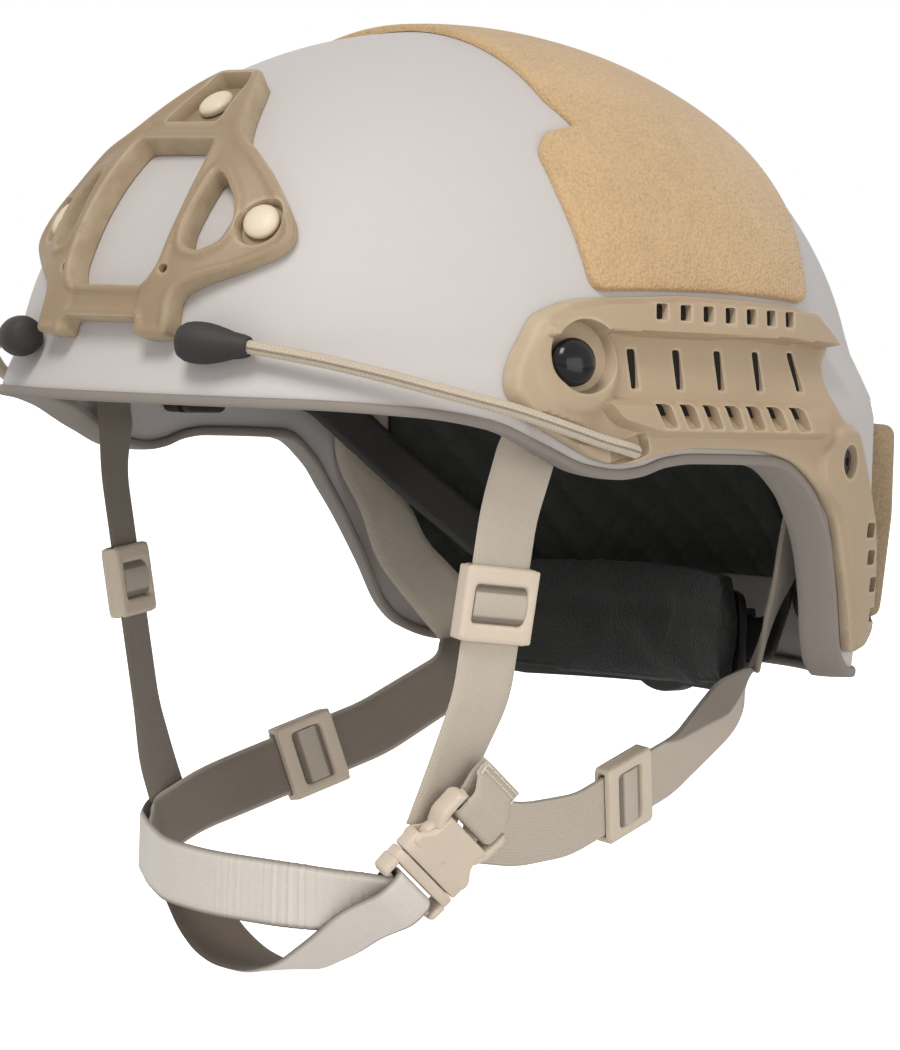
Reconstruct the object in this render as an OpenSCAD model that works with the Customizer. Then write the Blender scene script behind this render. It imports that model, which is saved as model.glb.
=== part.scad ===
// Combat helmet with side rails, a front accessory shroud and a four-point chin harness.
// Millimetres. The shell is drawn with the brim's lower edge at height 0, the widest
// section at y = 0, the front towards -Y and the wearer's left towards +X. Every piece is
// then lowered by head_top_z, which puts the origin where the crown pad meets the head.

/* [Head] */
// Height of the head's top above the brim's edge
head_top_z = 86; // [80:1:90]

/* [Shell] */
// Half of the shell's width, rails not counted
half_w = 110; // [104:1:116]
// Length of the shell in front of its widest section
front_len = 128; // [120:1:136]
// Length of the shell behind its widest section
back_len = 138; // [130:1:146]
// Height of the crown above the widest level
crown_h = 112; // [108:1:118]
// Level of the widest section above the brim's edge
waist_z = 1; // [0:0.5:4]
// Thickness of the shell's wall
wall = 8; // [6:0.5:9]
// How far the back of the shell flares outwards
back_flare = 7; // [3:0.5:8]
// How far the brim flares outwards
brim_flare = 4; // [2:0.5:6]

/* [Rim] */
// Level of the dip in front of the ear, below the brim's edge
dip_drop = 17.6; // [14:0.2:20]
// Level of the rim over the ear, below the brim's edge
ear_drop = 13; // [10:0.5:16]
// Level of the rim at the nape, below the brim's edge
nape_drop = 80; // [76:1:86]
// Thickness of the rubber trim on the rim
trim_t = 1.5; // [1:0.1:2]
// Height of the trim's outer lip
trim_lip = 3; // [2.5:0.5:4]

/* [Loop fields] */
// Thickness of the fabric fields on the shell
field_t = 1.6; // [1:0.1:2.5]
// Thickness of the raised panel at the back
back_panel_t = 7.5; // [4:0.5:8]
// Half of the back panel's plan angle
back_panel_angle = 36; // [28:1:37]

/* [Rails] */
// Thickness of a rail's floor
rail_floor = 4.2; // [3.5:0.1:5]
// Height of a rail's ridges above the shell
rail_ridge = 8.5; // [7:0.5:10]
// Thickness of a rail's rear arm
arm_t = 6; // [5:0.5:7]
// Number of slots in a rail's channel
slot_count = 5; // [3:1:5]
// Distance between slots
slot_pitch = 17.4; // [16:0.2:18]
// Width of a slot
slot_w = 2.4; // [1.6:0.2:4]
// Height of a slot
slot_h = 10; // [8:0.5:12]
// Number of notches in each ridge
notch_count = 7; // [3:1:7]
// Distance between notches
notch_pitch = 9.3; // [8:0.1:9.5]
// Width of a notch
notch_w = 4.2; // [2.5:0.1:5]

/* [Shroud] */
// Height of the shroud above the shell
shroud_t = 7; // [5:0.5:8]
// Half of the shroud window's width at its foot
window_half = 15; // [12:0.5:16]
// Level of the window's foot
window_low = 32.5; // [31:0.5:36]
// Level of the window's head
window_high = 74; // [68:0.5:76]

/* [Fasteners] */
// Diameter of every screw's shank
screw_d = 5; // [4:0.5:6]
// Diameter of the shroud screws' heads
shroud_head_d = 11; // [9:0.5:12]
// Diameter of the rail bolts' domed heads
rail_head_d = 14; // [12:0.5:16]
// Diameter of the nuts inside the shell
nut_d = 13; // [11:0.5:15]

/* [Bungees] */
// Diameter of a bungee cord
bungee_d = 4; // [3:0.2:5]
// Length of a bungee's rubber cap
cap_len = 22; // [18:1:26]
// Largest diameter of the cap
cap_d = 12; // [10:0.5:13]

/* [Padding] */
// Thickness of the brow, side and rear pads
pad_t = 13; // [10:0.5:15]
// Thickness of the lining in the back of the shell
liner_t = 4; // [3:0.5:5]

/* [Nape cradle] */
// Half of the nape pad's width
nape_half_w = 54; // [50:1:56]
// Height of the nape pad
nape_h = 40; // [34:1:42]
// Thickness of the nape pad
nape_t = 12; // [9:0.5:13]
// Thickness of the cradle behind the pad
cradle_t = 3; // [2:0.5:4]
// Diameter of the dial
dial_d = 34; // [30:1:36]
// Height of a head band strip
strip_w = 14; // [10:0.5:16]
// Thickness of a head band strip
strip_t = 1.5; // [1.2:0.1:2]

/* [Harness] */
// Width of the webbing
strap_w = 19; // [17:0.5:20]
// Thickness of the webbing
strap_t = 1.6; // [1.2:0.1:2]
// Width of an adjuster
slider_w = 24; // [23:0.5:26]
// Length of an adjuster along the webbing
slider_len = 22; // [20:0.5:24]
// Thickness of an adjuster
slider_t = 6; // [5.5:0.5:8]
// Width of the buckle
buckle_w = 26; // [24:0.5:28]
// Thickness of the buckle
buckle_t = 8; // [7:0.5:9]
// Running clearance round webbing and strips
slide_gap = 0.4; // [0.3:0.05:0.6]

/* [Hidden] */
$fn = 32;

// Seats left between pieces that lie on each other, on the shell's outer skin and on its
// inner wall, whose flat facets stand in by up to half a millimetre
seat = 0.3;
skin_seat = 0.8;
wall_seat = 0.9;
plan_power = 2.25;
grey = [0.80, 0.78, 0.75];
tan = [0.74, 0.63, 0.48];
dark = [0.16, 0.16, 0.15];
web = [0.68, 0.63, 0.57];

// General functions
function clip(t) = min(1, max(0, t));
function smooth(t) = let (c = clip(t)) c * c * (3 - 2 * c);
function signed_pow(v, p) = sign(v) * pow(abs(v), p);
function unit(v) = v / norm(v);
function mix(a, b, t) = a + (b - a) * t;

// The shell's form: a plan outline between an ellipse and a rounded box, carried up an
// elliptical arc to the crown, and pushed outwards where the brim and the back flare.
function taper(z, off) =
  z <= waist_z ? 1 : sqrt(max(0, 1 - pow((z - waist_z) / (crown_h + off), 2)));
function flare(y, z) =
  back_flare * smooth((y - 20) / 40) * smooth((24 - z) / 24)
    * (z < -30 ? 1 - 0.67 * (-30 - z) / 50 : 1)
  + brim_flare * smooth((-40 - y) / 30) * smooth((18 - z) / 18);
function plan_point(a, off) = [
  (half_w + off) * signed_pow(cos(a), 2 / plan_power),
  (off + (sin(a) < 0 ? front_len : back_len)) * signed_pow(sin(a), 2 / plan_power)
];
function skin(a, z, off) =
  let (p = plan_point(a, off) * taper(z, off), r = norm(p), k = 1 + flare(p[1], z) / r)
  [p[0] * k, p[1] * k, z];
// Height as an arc length: straight below the waist, along the arc above it
function arc_z(v, off) =
  v <= waist_z ? v : waist_z + (crown_h + off) * sin((v - waist_z) / crown_h * 180 / PI);
arc_top = waist_z + crown_h * PI / 2;
// Half-width angle at a share of the plan's half length or half width
function share_angle(share) = asin(clip(pow(share, plan_power / 2)));
// Angle at which the side of the shell passes height z at y, or the front passes it at x:
// the flare is taken off in n steps
function side_angle(y, z, off, y0 = undef, n = 3) =
  let (v = is_undef(y0) ? y : y0, t = taper(z, off),
       a = sign(v) * share_angle(abs(v) / t / (off + (v < 0 ? front_len : back_len))))
  n == 0 ? a : side_angle(y, z, off, y / (1 + flare(v, z) / norm(plan_point(a, off) * t)),
                          n - 1);
function side(y, z, off) = skin(side_angle(y, z, off), z, off);
function front_angle(x, z, off, x0 = undef, n = 3) =
  let (v = is_undef(x0) ? abs(x) : x0, t = taper(z, off),
       a = share_angle(v / t / (half_w + off)) - 90, p = plan_point(a, off) * t)
  n == 0 ? a : front_angle(x, z, off, abs(x) / (1 + flare(p[1], z) / norm(p)), n - 1);
function front(x, z, off) =
  let (p = skin(front_angle(x, z, off), z, off)) [x < 0 ? -p[0] : p[0], p[1], z];
function normal(a, z) = unit(cross(skin(a + 0.5, z, 0) - skin(a - 0.5, z, 0),
                                   skin(a, z + 0.5, 0) - skin(a, z - 0.5, 0)));
// Point of the dome on a ray of the cross section at y, by halving
function reach(y, f, off, lo, hi, n) =
  let (m = (lo + hi) / 2, b = off + (y < 0 ? front_len : back_len),
       q = pow(pow(m * abs(sin(f)) / (half_w + off), plan_power)
               + pow(abs(y) / b, plan_power), 2 / plan_power)
           + pow(m * cos(f) / (crown_h + off), 2))
  n == 0 ? m : q > 1 ? reach(y, f, off, lo, m, n - 1) : reach(y, f, off, m, hi, n - 1);
function over_crown(y, f, off) =
  let (r = reach(y, f, off, 0, 140, 18)) [r * sin(f), y, waist_z + r * cos(f)];

// Closed solids from grids of points
function cell(a, b, c, d, out) =
  out ? [[a, d, c], [a, c, b]] : [[a, c, d], [a, b, c]];
function turned(g, away) = cross(g[1][0] - g[0][0], g[0][1] - g[0][0]) * away > 0;

// Solid between two grids of the same size
module slab(top, bottom) {
  ni = len(top);
  nj = len(top[0]);
  n = ni * nj;
  out = turned(top, top[0][0] - bottom[0][0]);
  walls = concat([for (i = [0:ni - 2]) [i * nj, (i + 1) * nj]],
                 [for (j = [0:nj - 2]) [(ni - 1) * nj + j, (ni - 1) * nj + j + 1]],
                 [for (i = [ni - 1:-1:1]) [i * nj + nj - 1, (i - 1) * nj + nj - 1]],
                 [for (j = [nj - 1:-1:1]) [j, j - 1]]);
  polyhedron(
    points = concat([for (r = top) each r], [for (r = bottom) each r]),
    faces = concat(
      [for (i = [0:ni - 2]) for (j = [0:nj - 2]) let (a = i * nj + j)
         each cell(a, a + nj, a + nj + 1, a + 1, out)],
      [for (i = [0:ni - 2]) for (j = [0:nj - 2]) let (a = n + i * nj + j)
         each cell(a, a + nj, a + nj + 1, a + 1, !out)],
      [for (w = walls) each cell(w[0], w[0] + n, w[1] + n, w[1], out)]));
}

// Solid through a row of closed rings, with capped ends, or joined end to end
module loft(rings, joined = false) {
  ni = len(rings);
  nj = len(rings[0]);
  mid = [for (k = [0:2]) let (v = [for (p = rings[0]) p[k]])
           v * [for (j = [1:nj]) 1] / nj];
  out = turned(rings, rings[0][0] - mid);
  last = (ni - 1) * nj;
  polyhedron(
    points = [for (r = rings) each r],
    faces = concat(
      [for (i = [0:joined ? ni - 1 : ni - 2]) for (j = [0:nj - 1])
         let (e = (j + 1) % nj, k = (i + 1) % ni)
         each cell(i * nj + j, k * nj + j, k * nj + e, i * nj + e, out)],
      joined ? [] : [for (j = [1:nj - 2]) out ? [0, j + 1, j] : [0, j, j + 1]],
      joined ? [] : [for (j = [1:nj - 2])
         out ? [last, last + j, last + j + 1] : [last, last + j + 1, last + j]]));
}

// Routes: each point is a place and a width direction, and corners are rounded
function place(p) = [p[0], p[1], p[2]];
function side_dir(p) = [p[3], p[4], p[5]];
function corner(a, b, c, t, cap) =
  let (la = norm(place(b - a)), lc = norm(place(c - b)), d = min(cap, 0.42 * min(la, lc)),
       p = mix(b, a, d / la), q = mix(b, c, d / lc))
  mix(mix(p, b, t), mix(b, q, t), t);
function rounded(pts, k, cap) = concat(
  [pts[0]],
  [for (i = [1:len(pts) - 2]) for (s = [0:k])
     corner(pts[i - 1], pts[i], pts[i + 1], s / k, cap)],
  [pts[len(pts) - 1]]);
function heading(pts, i) =
  unit(place(pts[min(i + 1, len(pts) - 1)] - pts[max(i - 1, 0)]));

// Flat band of webbing along a route; a corner takes up to cap of each run beside it
module band(route, wide, thick, cap = 6) {
  pts = rounded(route, 3, cap);
  loft([for (i = [0:len(pts) - 1])
    let (t = heading(pts, i), w0 = side_dir(pts[i]),
         w = unit(w0 - t * (w0 * t)) * wide / 2, n = unit(cross(t, w)) * thick / 2,
         c = place(pts[i]))
    [c - w - n, c + w - n, c + w + n, c - w + n]]);
}

// Round cord along a route
module cord(route, d, sides = 8) {
  pts = rounded(route, 2, 12);
  loft([for (i = [0:len(pts) - 1])
    let (t = heading(pts, i), u = unit(cross(t, [0, 0, 1])), v = cross(u, t),
         c = place(pts[i]))
    [for (j = [0:sides - 1])
      c + d / 2 * (u * cos(360 * j / sides) + v * sin(360 * j / sides))]]);
}

// Local frame: X across, Z along dir
module stood(p, dir, across) {
  z = unit(dir);
  x = unit(across - z * (across * z));
  y = cross(z, x);
  multmatrix([[x[0], y[0], z[0], p[0]], [x[1], y[1], z[1], p[1]],
              [x[2], y[2], z[2], p[2]], [0, 0, 0, 1]]) children();
}
module on_head() { translate([0, 0, -head_top_z]) children(); }
module both_sides() { children(); mirror([1, 0, 0]) children(); }
// Anything that sits square on the shell's outer skin at plan angle a and height z
module on_skin(a, z) {
  stood(skin(a, z, 0), normal(a, z), [0, 0, 1]) children();
}
module on_side(y, z, off) {
  stood(side(y, z, off), normal(side_angle(y, z, off), z), [0, 0, 1]) children();
}
// Solid whose walls fan out from a point far inside the shell, so that they stand square
// to it. The outline is given on the skin, in the front view or in the left side view.
ray_near = 40;
ray_far = 170;
module fan(pts) {
  translate([0, 0, ray_near])
    linear_extrude(ray_far - ray_near, scale = ray_far / ray_near)
      polygon([for (p = pts) [p[0], p[1]] * ray_near / p[2]]);
}
module front_fan(outline) {
  rotate([90, 0, 0]) fan([for (q = outline) let (p = front(q[0], q[1], 0))
                            [p[0], p[2], -p[1]]]);
}
side_apex = -60;
module side_fan(outline) {
  translate([side_apex, 0, 0]) rotate([90, 0, 90])
    scale([1, 1, 1.3]) fan([for (q = outline) let (p = side(q[0], q[1], 0))
                              [p[1], p[2], (p[0] - side_apex) / 1.3]]);
}

// Rim of the shell, from the brim round one ear to the nape:
// column angle, place along the side, height
rim = [
  [-90, -2 * front_len, 0], [-62, -114, 0], [-42, -89, -1.3], [-32, -72, -4],
  [-22.5, -53, -11.3], [-16, -39.5, -dip_drop + 1.3], [-11, -28.4, -dip_drop],
  [-8, -20.7, -dip_drop + 0.9], [-3.5, -11, -ear_drop - 1], [0, 0, -ear_drop],
  [10.5, 31, -ear_drop - 0.4], [14, 38, -ear_drop - 1.5], [16.5, 42, -ear_drop - 3.5],
  [19, 46, -ear_drop - 6.5], [22, 50.5, -ear_drop - 10.5], [25.5, 55, -29.5],
  [29.5, 60, -37], [35, 68.5, -nape_drop + 26], [40, 74.5, -nape_drop + 12],
  [44, 80.5, -nape_drop + 5.5], [50, 92, -nape_drop + 1.5], [66, 123, -nape_drop],
  [90, 2 * back_len, -nape_drop]
];
rim_angle = [for (r = rim) [r[0], side_angle(r[1], r[2], 0)]];
rim_level = [for (r = rim) [r[0], r[2]]];
// Column angles for one half, closer together down the front edge of the nape drop
half_columns = concat([for (a = [-90:6:-30]) a], [for (a = [-26:3:10]) a],
                      [for (a = [12.5:2.5:45]) a], [for (a = [50:5:90]) a]);
columns = concat(half_columns,
                 [for (i = [len(half_columns) - 2:-1:1]) 180 - half_columns[i]]);
function fold(a) = a > 90 ? 180 - a : a;
function unfold(a, b) = a > 90 ? 180 - b : b;
fan_top = 26;
shell_rows = 13;
fan_rows = 5;
// Point a given way up from the rim along a column
function rim_up(a, up, off) =
  let (c = fold(a), level = lookup(c, rim_level), t = clip(up / (fan_top - level)))
  skin(unfold(a, mix(lookup(c, rim_angle), c, t)), arc_z(level + up, off), off);
// Rows fan out from the rim, then rise straight to the crown
function shell_point(a, j, off) =
  j <= fan_rows
    ? rim_up(a, mix(trim_t, fan_top - lookup(fold(a), rim_level), j / fan_rows), off)
    : skin(a, arc_z(mix(fan_top, arc_top, (j - fan_rows) / (shell_rows - fan_rows)), off), off);

// Bolt holes, as plan angle and height on the outer skin
rail_bolt = [side_angle(-47.9, 14.6, 0), 14.6];
rail_screw = [side_angle(64.4, -12, 0), -12];
shroud_screw_side = [front_angle(41.7, 49.6, 0), 49.6];
shroud_screw_top = [-90, 81.2];

module bolt_holes(d) {
  both_sides() {
    on_skin(rail_bolt[0], rail_bolt[1]) cylinder(d = d, h = 60, center = true);
    on_skin(rail_screw[0], rail_screw[1]) cylinder(d = d, h = 60, center = true);
    on_skin(shroud_screw_side[0], shroud_screw_side[1])
      cylinder(d = d, h = 60, center = true);
  }
  on_skin(shroud_screw_top[0], shroud_screw_top[1]) cylinder(d = d, h = 60, center = true);
}

module shell() {
  nr = shell_rows;
  nc = len(columns);
  outer = [for (a = columns) each [for (j = [0:nr - 1]) shell_point(a, j, 0)]];
  inner = [for (a = columns) each [for (j = [0:nr - 1]) shell_point(a, j, -wall)]];
  n = nc * nr;
  top = [[0, 0, waist_z + crown_h], [0, 0, waist_z + crown_h - wall]];
  color(grey) on_head() difference() {
    polyhedron(
      points = concat(outer, inner, top),
      faces = [for (i = [0:nc - 1]) let (k = (i + 1) % nc, a = i * nr, b = k * nr) each
        concat(
          [for (j = [0:nr - 2]) each cell(a + j, b + j, b + j + 1, a + j + 1, true)],
          [for (j = [0:nr - 2])
             each cell(n + a + j, n + b + j, n + b + j + 1, n + a + j + 1, false)],
          cell(a, b, n + b, n + a, false),
          [[a + nr - 1, 2 * n, b + nr - 1],
           [n + a + nr - 1, n + b + nr - 1, 2 * n + 1]])]);
    bolt_holes(screw_d + 0.4);
  }
}

// Rubber trim: a channel that wraps the rim
module edge_trim() {
  out = 0.25;
  in = -wall - 0.8;
  color([0.70, 0.68, 0.65]) on_head() loft([for (a = columns) [
    rim_up(a, 0, trim_t - 0.6), rim_up(a, 0.8, trim_t), rim_up(a, trim_lip, trim_t * 0.8),
    rim_up(a, trim_lip, out), rim_up(a, trim_t - 0.2, out), rim_up(a, trim_t - 0.2, in),
    rim_up(a, trim_lip, in), rim_up(a, trim_lip, in - trim_t * 0.8),
    rim_up(a, 0.8, in - trim_t * 0.8), rim_up(a, 0, in - 0.3)]], joined = true);
}

// Hook-and-loop field that saddles the crown: front and back edges against the angle
// from the crown, and a lower edge over each rail
field_front = [[0, -15], [26, -18], [36, -20], [42.5, -16.5], [43.5, -30], [47, -36],
               [55, -36.6], [70, -35.5], [71.3, -33]];
field_back = [[0, 74], [38, 73], [53, 70.4], [61, 66], [70, 60], [71.3, 57]];
field_angles = [0, 9, 18, 27, 36, 42.4, 43.6, 47, 51, 55, 60, 65, 70, 71.3];
module crown_loop_field() {
  angles = concat([for (i = [len(field_angles) - 1:-1:1]) -field_angles[i]], field_angles);
  function grid(off) = [for (f = angles) let (g = abs(f), a = lookup(g, field_front),
                                             b = lookup(g, field_back))
                          [for (t = [0:0.1:1]) over_crown(mix(a, b, t), f, off)]];
  color([0.70, 0.54, 0.33]) on_head() slab(grid(skin_seat + field_t), grid(skin_seat));
}

// Raised panel round the back, between the rails' arms
back_panel_top = -2;
back_panel_bottom = -62;
module back_panel() {
  levels = [back_panel_top, back_panel_top - 3, -18, -32, -46, back_panel_bottom + 4,
            back_panel_bottom];
  function grid(off, edge) = [for (i = [-9:9]) let (s = abs(i) == 9 ? edge : 0)
    [for (k = [0:6]) let (e = k == 0 || k == 6 ? edge : 0)
       skin(90 + i * back_panel_angle / 9, levels[k], off - max(s, e))]];
  color([0.60, 0.50, 0.36]) on_head()
    slab(grid(seat + back_panel_t, 2), grid(seat, 0));
}

// Shroud: one moulding with a window, two side arms and two feet on the brim
shroud_half = [[0, 96], [6.5, 96], [9, 93.5], [11.2, 85], [19, 75.5], [31.7, 67], [42, 59],
               [51.2, 51], [52, 47], [50, 43.5], [39.7, 35.6], [28.5, 30.7], [26.5, 27],
               [27.5, 17.6], [16, 17.6], [15.5, 22.7], [0, 22.7]];
shroud_window = [[-window_half + 1, window_low], [window_half - 1, window_low],
                 [window_half + 1.6, window_high - 6], [window_half, window_high],
                 [-window_half, window_high], [-window_half - 1.6, window_high - 6]];
shroud_side_window = [[22.5, 62.5], [33, 54], [30, 45], [25, 41.5], [21, 41.5]];
shroud_top_window = [[-6.5, 75.5], [6.5, 75.5], [6.5, 76.8], [-6.5, 76.8]];
side_share = 0.62;
side_seat = 2;
top_seat = 3.2;
head_room = 1.6;
module shroud() {
  xs = [-58, -50, -41, -33, -25, -17, -9, 0, 9, 17, 25, 33, 41, 50, 58];
  zs = [14, 20, 24, 32, 40, 48, 56, 64, 72, 79, 85, 90, 95, 100];
  // Grid columns draw together towards the crown, and the moulding thins to its sides
  function grid(thick) = [for (z = zs) [for (x = xs)
    let (off = skin_seat + thick * mix(1, side_share, smooth((abs(x) - 24) / 20)))
    front(x * min(1, 0.96 * half_w * taper(z, off) / 58), z, off)]];
  color(tan) on_head() difference() {
    intersection() {
      slab(grid(shroud_t), grid(0));
      front_fan(concat(shroud_half, [for (i = [len(shroud_half) - 2:-1:1])
                                       [-shroud_half[i][0], shroud_half[i][1]]]));
    }
    front_fan(shroud_window);
    front_fan(shroud_top_window);
    both_sides() front_fan(shroud_side_window);
    bolt_holes(screw_d + 0.4);
    both_sides() on_skin(shroud_screw_side[0], shroud_screw_side[1])
      translate([0, 0, side_seat]) cylinder(d = shroud_head_d + head_room, h = 12);
    on_skin(shroud_screw_top[0], shroud_screw_top[1])
      translate([0, 0, top_seat]) cylinder(d = shroud_head_d + head_room, h = 12);
  }
}

module domed_screw(head_d, head_h, seat_z, deep) {
  translate([0, 0, seat_z]) rotate_extrude()
    polygon([[0, -deep - seat_z], [screw_d / 2, -deep - seat_z], [screw_d / 2, 0],
             [head_d / 2, 0], [head_d / 2, head_h * 0.45], [head_d * 0.42, head_h * 0.72],
             [head_d * 0.27, head_h * 0.93], [0, head_h]]);
}
// Nut against the inner wall, or against webbing of the given thickness on that wall
nut_t = 2;
module nut(under = 0) {
  translate([0, 0, -wall - max(under, wall_seat) - seat - nut_t]) difference() {
    cylinder(d = nut_d, h = nut_t);
    translate([0, 0, -1]) cylinder(d = screw_d + 0.2, h = nut_t + 2);
  }
}
screw_deep = wall + wall_seat + nut_t + seat;
// Middle of the webbing that a rail's nut holds, below the inner wall
webbing_deep = 2.8;
webbing_under = webbing_deep + strap_t / 2 + 1.2;
module shroud_screws() {
  color([0.80, 0.76, 0.68]) on_head() {
    both_sides() on_skin(shroud_screw_side[0], shroud_screw_side[1])
      domed_screw(shroud_head_d, 3.2, side_seat + 0.1, screw_deep);
    on_skin(shroud_screw_top[0], shroud_screw_top[1])
      domed_screw(shroud_head_d, 3.6, top_seat + 0.1, screw_deep);
  }
}
module shroud_nuts() {
  color(dark) on_head() {
    both_sides() on_skin(shroud_screw_side[0], shroud_screw_side[1]) nut();
    on_skin(shroud_screw_top[0], shroud_screw_top[1]) nut();
  }
}

// Rails. The outline is given on the skin in the side view: y and z.
rail_outline = [
  [-67.6, 5.8], [-66.7, 11.3], [-62.8, 18.4], [-56.4, 28.4], [-46.4, 32.5],
  [-37.6, 33.8], [-1.6, 35.3], [23.5, 34.5], [54.4, 33], [67.5, 24.2], [69, 21.4],
  [59, 15.8], [56, 9.6], [62, 0.4], [72, -1.2], [74, -5.4], [81.5, -17], [88.5, -29],
  [95, -41], [99, -55], [100.7, -65], [90, -70.5], [82.5, -70], [79.2, -65],
  [73.5, -53], [60.5, -29], [50.5, -18.8], [42, -12.6], [34.5, -10.2], [25.7, -8.9],
  [-3, -8.4], [-15.2, -10.2], [-25.2, -13], [-32.7, -13.2], [-38.8, -11.8],
  [-53, -5.3], [-63, -0.9]
];
upper_ridge = [
  [-57.5, 22], [-55.2, 27.2], [-46.2, 31.3], [-37.5, 32.6], [-1.6, 34.1], [23.5, 33.3],
  [53.8, 31.8], [65.5, 23.9], [66.5, 21.8], [30, 23.4], [-20, 24], [-36, 23], [-42, 21.2],
  [-50, 22.6]
];
lower_ridge = [
  [-40, 5], [-28, 4.8], [38, 4], [52, 3], [51, -4.5], [38, -4.6], [-20, -4.4], [-34, -1]
];
rail_arm = [
  [60, -1.6], [71, -3], [72.6, -6], [80, -17.5], [87, -29.7], [93.3, -41.6],
  [97.2, -55.5], [98.8, -64], [89.8, -69], [84, -68.6], [75.3, -52.5], [62, -28.3],
  [51, -19.8], [50, -10]
];
// Middles of the rows of slots and notches, and the places of the arm's notches
slot_mid = [4.4, 14];
notch_mid = [9.3, 30.2];
low_notch_mid = [10.2, 0.4];
notch_deep = 3.6;
arm_notches = [[82.7, -32.8], [85.8, -41.1], [90.9, -49.6], [94.5, -59]];
hook_pocket = [-28.2, -8.8];
// Layer of the rail between two heights above the skin, on its own grid
module rail_layer(outline, low, high, ys, zs) {
  intersection() {
    slab([for (y = ys) [for (z = zs) side(y, z, high)]],
         [for (y = ys) [for (z = zs) side(y, z, low)]]);
    side_fan(outline);
  }
}
base_ys = [-76, -64, -51, -37, -23, -9, 5, 19, 32, 44, 55, 66, 78, 91, 104];
base_zs = [-78, -62, -46, -31, -18, -6, 5, 16, 27, 39];
upper_ys = [-62, -48, -32, -14, 4, 22, 38, 52, 70];
upper_zs = [17, 24, 30, 36];
lower_ys = [-44, -26, -8, 10, 28, 42, 56];
lower_zs = [-7, -1, 7];
arm_ys = [46, 56, 66, 77, 89, 101];
arm_zs = [-73, -58, -43, -28, -14, 1];
// Block cut down into the skin from above
module cut_block(y, z, off, wide, high, deep) {
  on_side(y, z, off) translate([-high / 2, -wide / 2, -deep]) cube([high, wide, deep + 8]);
}
module rail() {
  overlap = 1;
  difference() {
    union() {
      rail_layer(rail_outline, skin_seat + 0.2, rail_floor, base_ys, base_zs);
      // The ridges and the arm stand proud of the channel
      rail_layer(upper_ridge, rail_floor - overlap, rail_ridge, upper_ys, upper_zs);
      rail_layer(lower_ridge, rail_floor - overlap, rail_ridge - 1, lower_ys, lower_zs);
      rail_layer(rail_arm, rail_floor - overlap, arm_t, arm_ys, arm_zs);
      on_skin(rail_bolt[0], rail_bolt[1]) translate([0, 0, 2])
        cylinder(d1 = rail_head_d + 12, d2 = rail_head_d + 6, h = rail_floor);
    }
    for (i = [0:slot_count - 1])
      cut_block(slot_mid[0] + (i - (slot_count - 1) / 2) * slot_pitch, slot_mid[1],
                rail_floor, slot_w, slot_h, rail_floor);
    for (i = [0:notch_count - 1]) {
      s = (i - (notch_count - 1) / 2) * notch_pitch;
      cut_block(notch_mid[0] + s, notch_mid[1] - 0.02 * s, rail_ridge, notch_w, 4,
                notch_deep);
      cut_block(low_notch_mid[0] + s, low_notch_mid[1] - 0.01 * s, rail_ridge - 1,
                notch_w, 5, notch_deep - 1);
    }
    for (p = arm_notches) cut_block(p[0], p[1], arm_t, 7, 4.5, 3);
    bolt_holes(screw_d + 0.4);
    on_skin(rail_bolt[0], rail_bolt[1]) translate([0, 0, rail_floor])
      cylinder(d = rail_head_d + 1, h = 12);
    on_skin(rail_screw[0], rail_screw[1]) translate([0, 0, screw_seat])
      cylinder(d = screw_d + 4.6, h = 12);
    // Trough and pocket that take the bungee
    cord(bungee_route, bungee_d + 1.2);
    on_side(hook_pocket[0], hook_pocket[1], rail_ridge) rotate([0, 0, -17])
      translate([-3.4, -7, -rail_ridge]) cube([6.8, 14, 20]);
  }
}
screw_seat = 3;
module rail_left() { color(tan) on_head() rail(); }
module rail_right() { color(tan) on_head() mirror([1, 0, 0]) rail(); }
module rail_bolts() {
  color([0.05, 0.05, 0.05]) on_head() both_sides() on_skin(rail_bolt[0], rail_bolt[1])
    domed_screw(rail_head_d, 6, rail_floor + 0.1, screw_deep + webbing_under - wall_seat);
}
module rail_screws() {
  color(dark) on_head() both_sides() on_skin(rail_screw[0], rail_screw[1])
    domed_screw(screw_d + 3.6, 2.4, screw_seat + 0.1, screw_deep + webbing_under - wall_seat);
}
module rail_nuts() {
  color(dark) on_head() both_sides() {
    on_skin(rail_bolt[0], rail_bolt[1]) nut(webbing_under);
    on_skin(rail_screw[0], rail_screw[1]) nut(webbing_under);
  }
}

// Bungees: from a rubber cap beside the shroud's foot, round the brim to the rail's hook
bungee_off = 7;
bungee_view = [[-113.5, 14.6], [-103, 11.3], [-87, 6.2], [-71, 2], [-54.5, -2.7],
               [-41.5, -6.3], [-33, -8.2]];
cap_end = [33.5, -front_len - 2, 18];
cap_mouth = [54, 6.5 - front_len, 17];
bungee_route = concat(
  [concat(mix(cap_end, cap_mouth, 0.8), [0, 0, 1]), concat(cap_mouth, [0, 0, 1])],
  [for (p = bungee_view) concat(side(p[0], p[1], bungee_off), [0, 0, 1])],
  [concat(side(-26.5, -9.4, bungee_off - 2.6), [0, 0, 1])]);
module cap() {
  neck = bungee_d / 2 + 1.3;
  stood(cap_end, cap_mouth - cap_end, [0, 0, 1]) rotate_extrude() polygon([
    [0, 0], [cap_d * 0.34, 0], [cap_d * 0.47, cap_len * 0.12], [cap_d / 2, cap_len * 0.32],
    [cap_d * 0.46, cap_len * 0.52], [neck + 0.6, cap_len * 0.78], [neck, cap_len],
    [bungee_d / 2 + seat, cap_len], [bungee_d / 2 + seat, cap_len * 0.7],
    [0, cap_len * 0.7]]);
}
module bungee_left() { color([0.80, 0.72, 0.58]) on_head() cord(bungee_route, bungee_d); }
module bungee_right() {
  color([0.80, 0.72, 0.58]) on_head() mirror([1, 0, 0]) cord(bungee_route, bungee_d);
}
module bungee_cap_left() { color([0.28, 0.28, 0.28]) on_head() cap(); }
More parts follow.
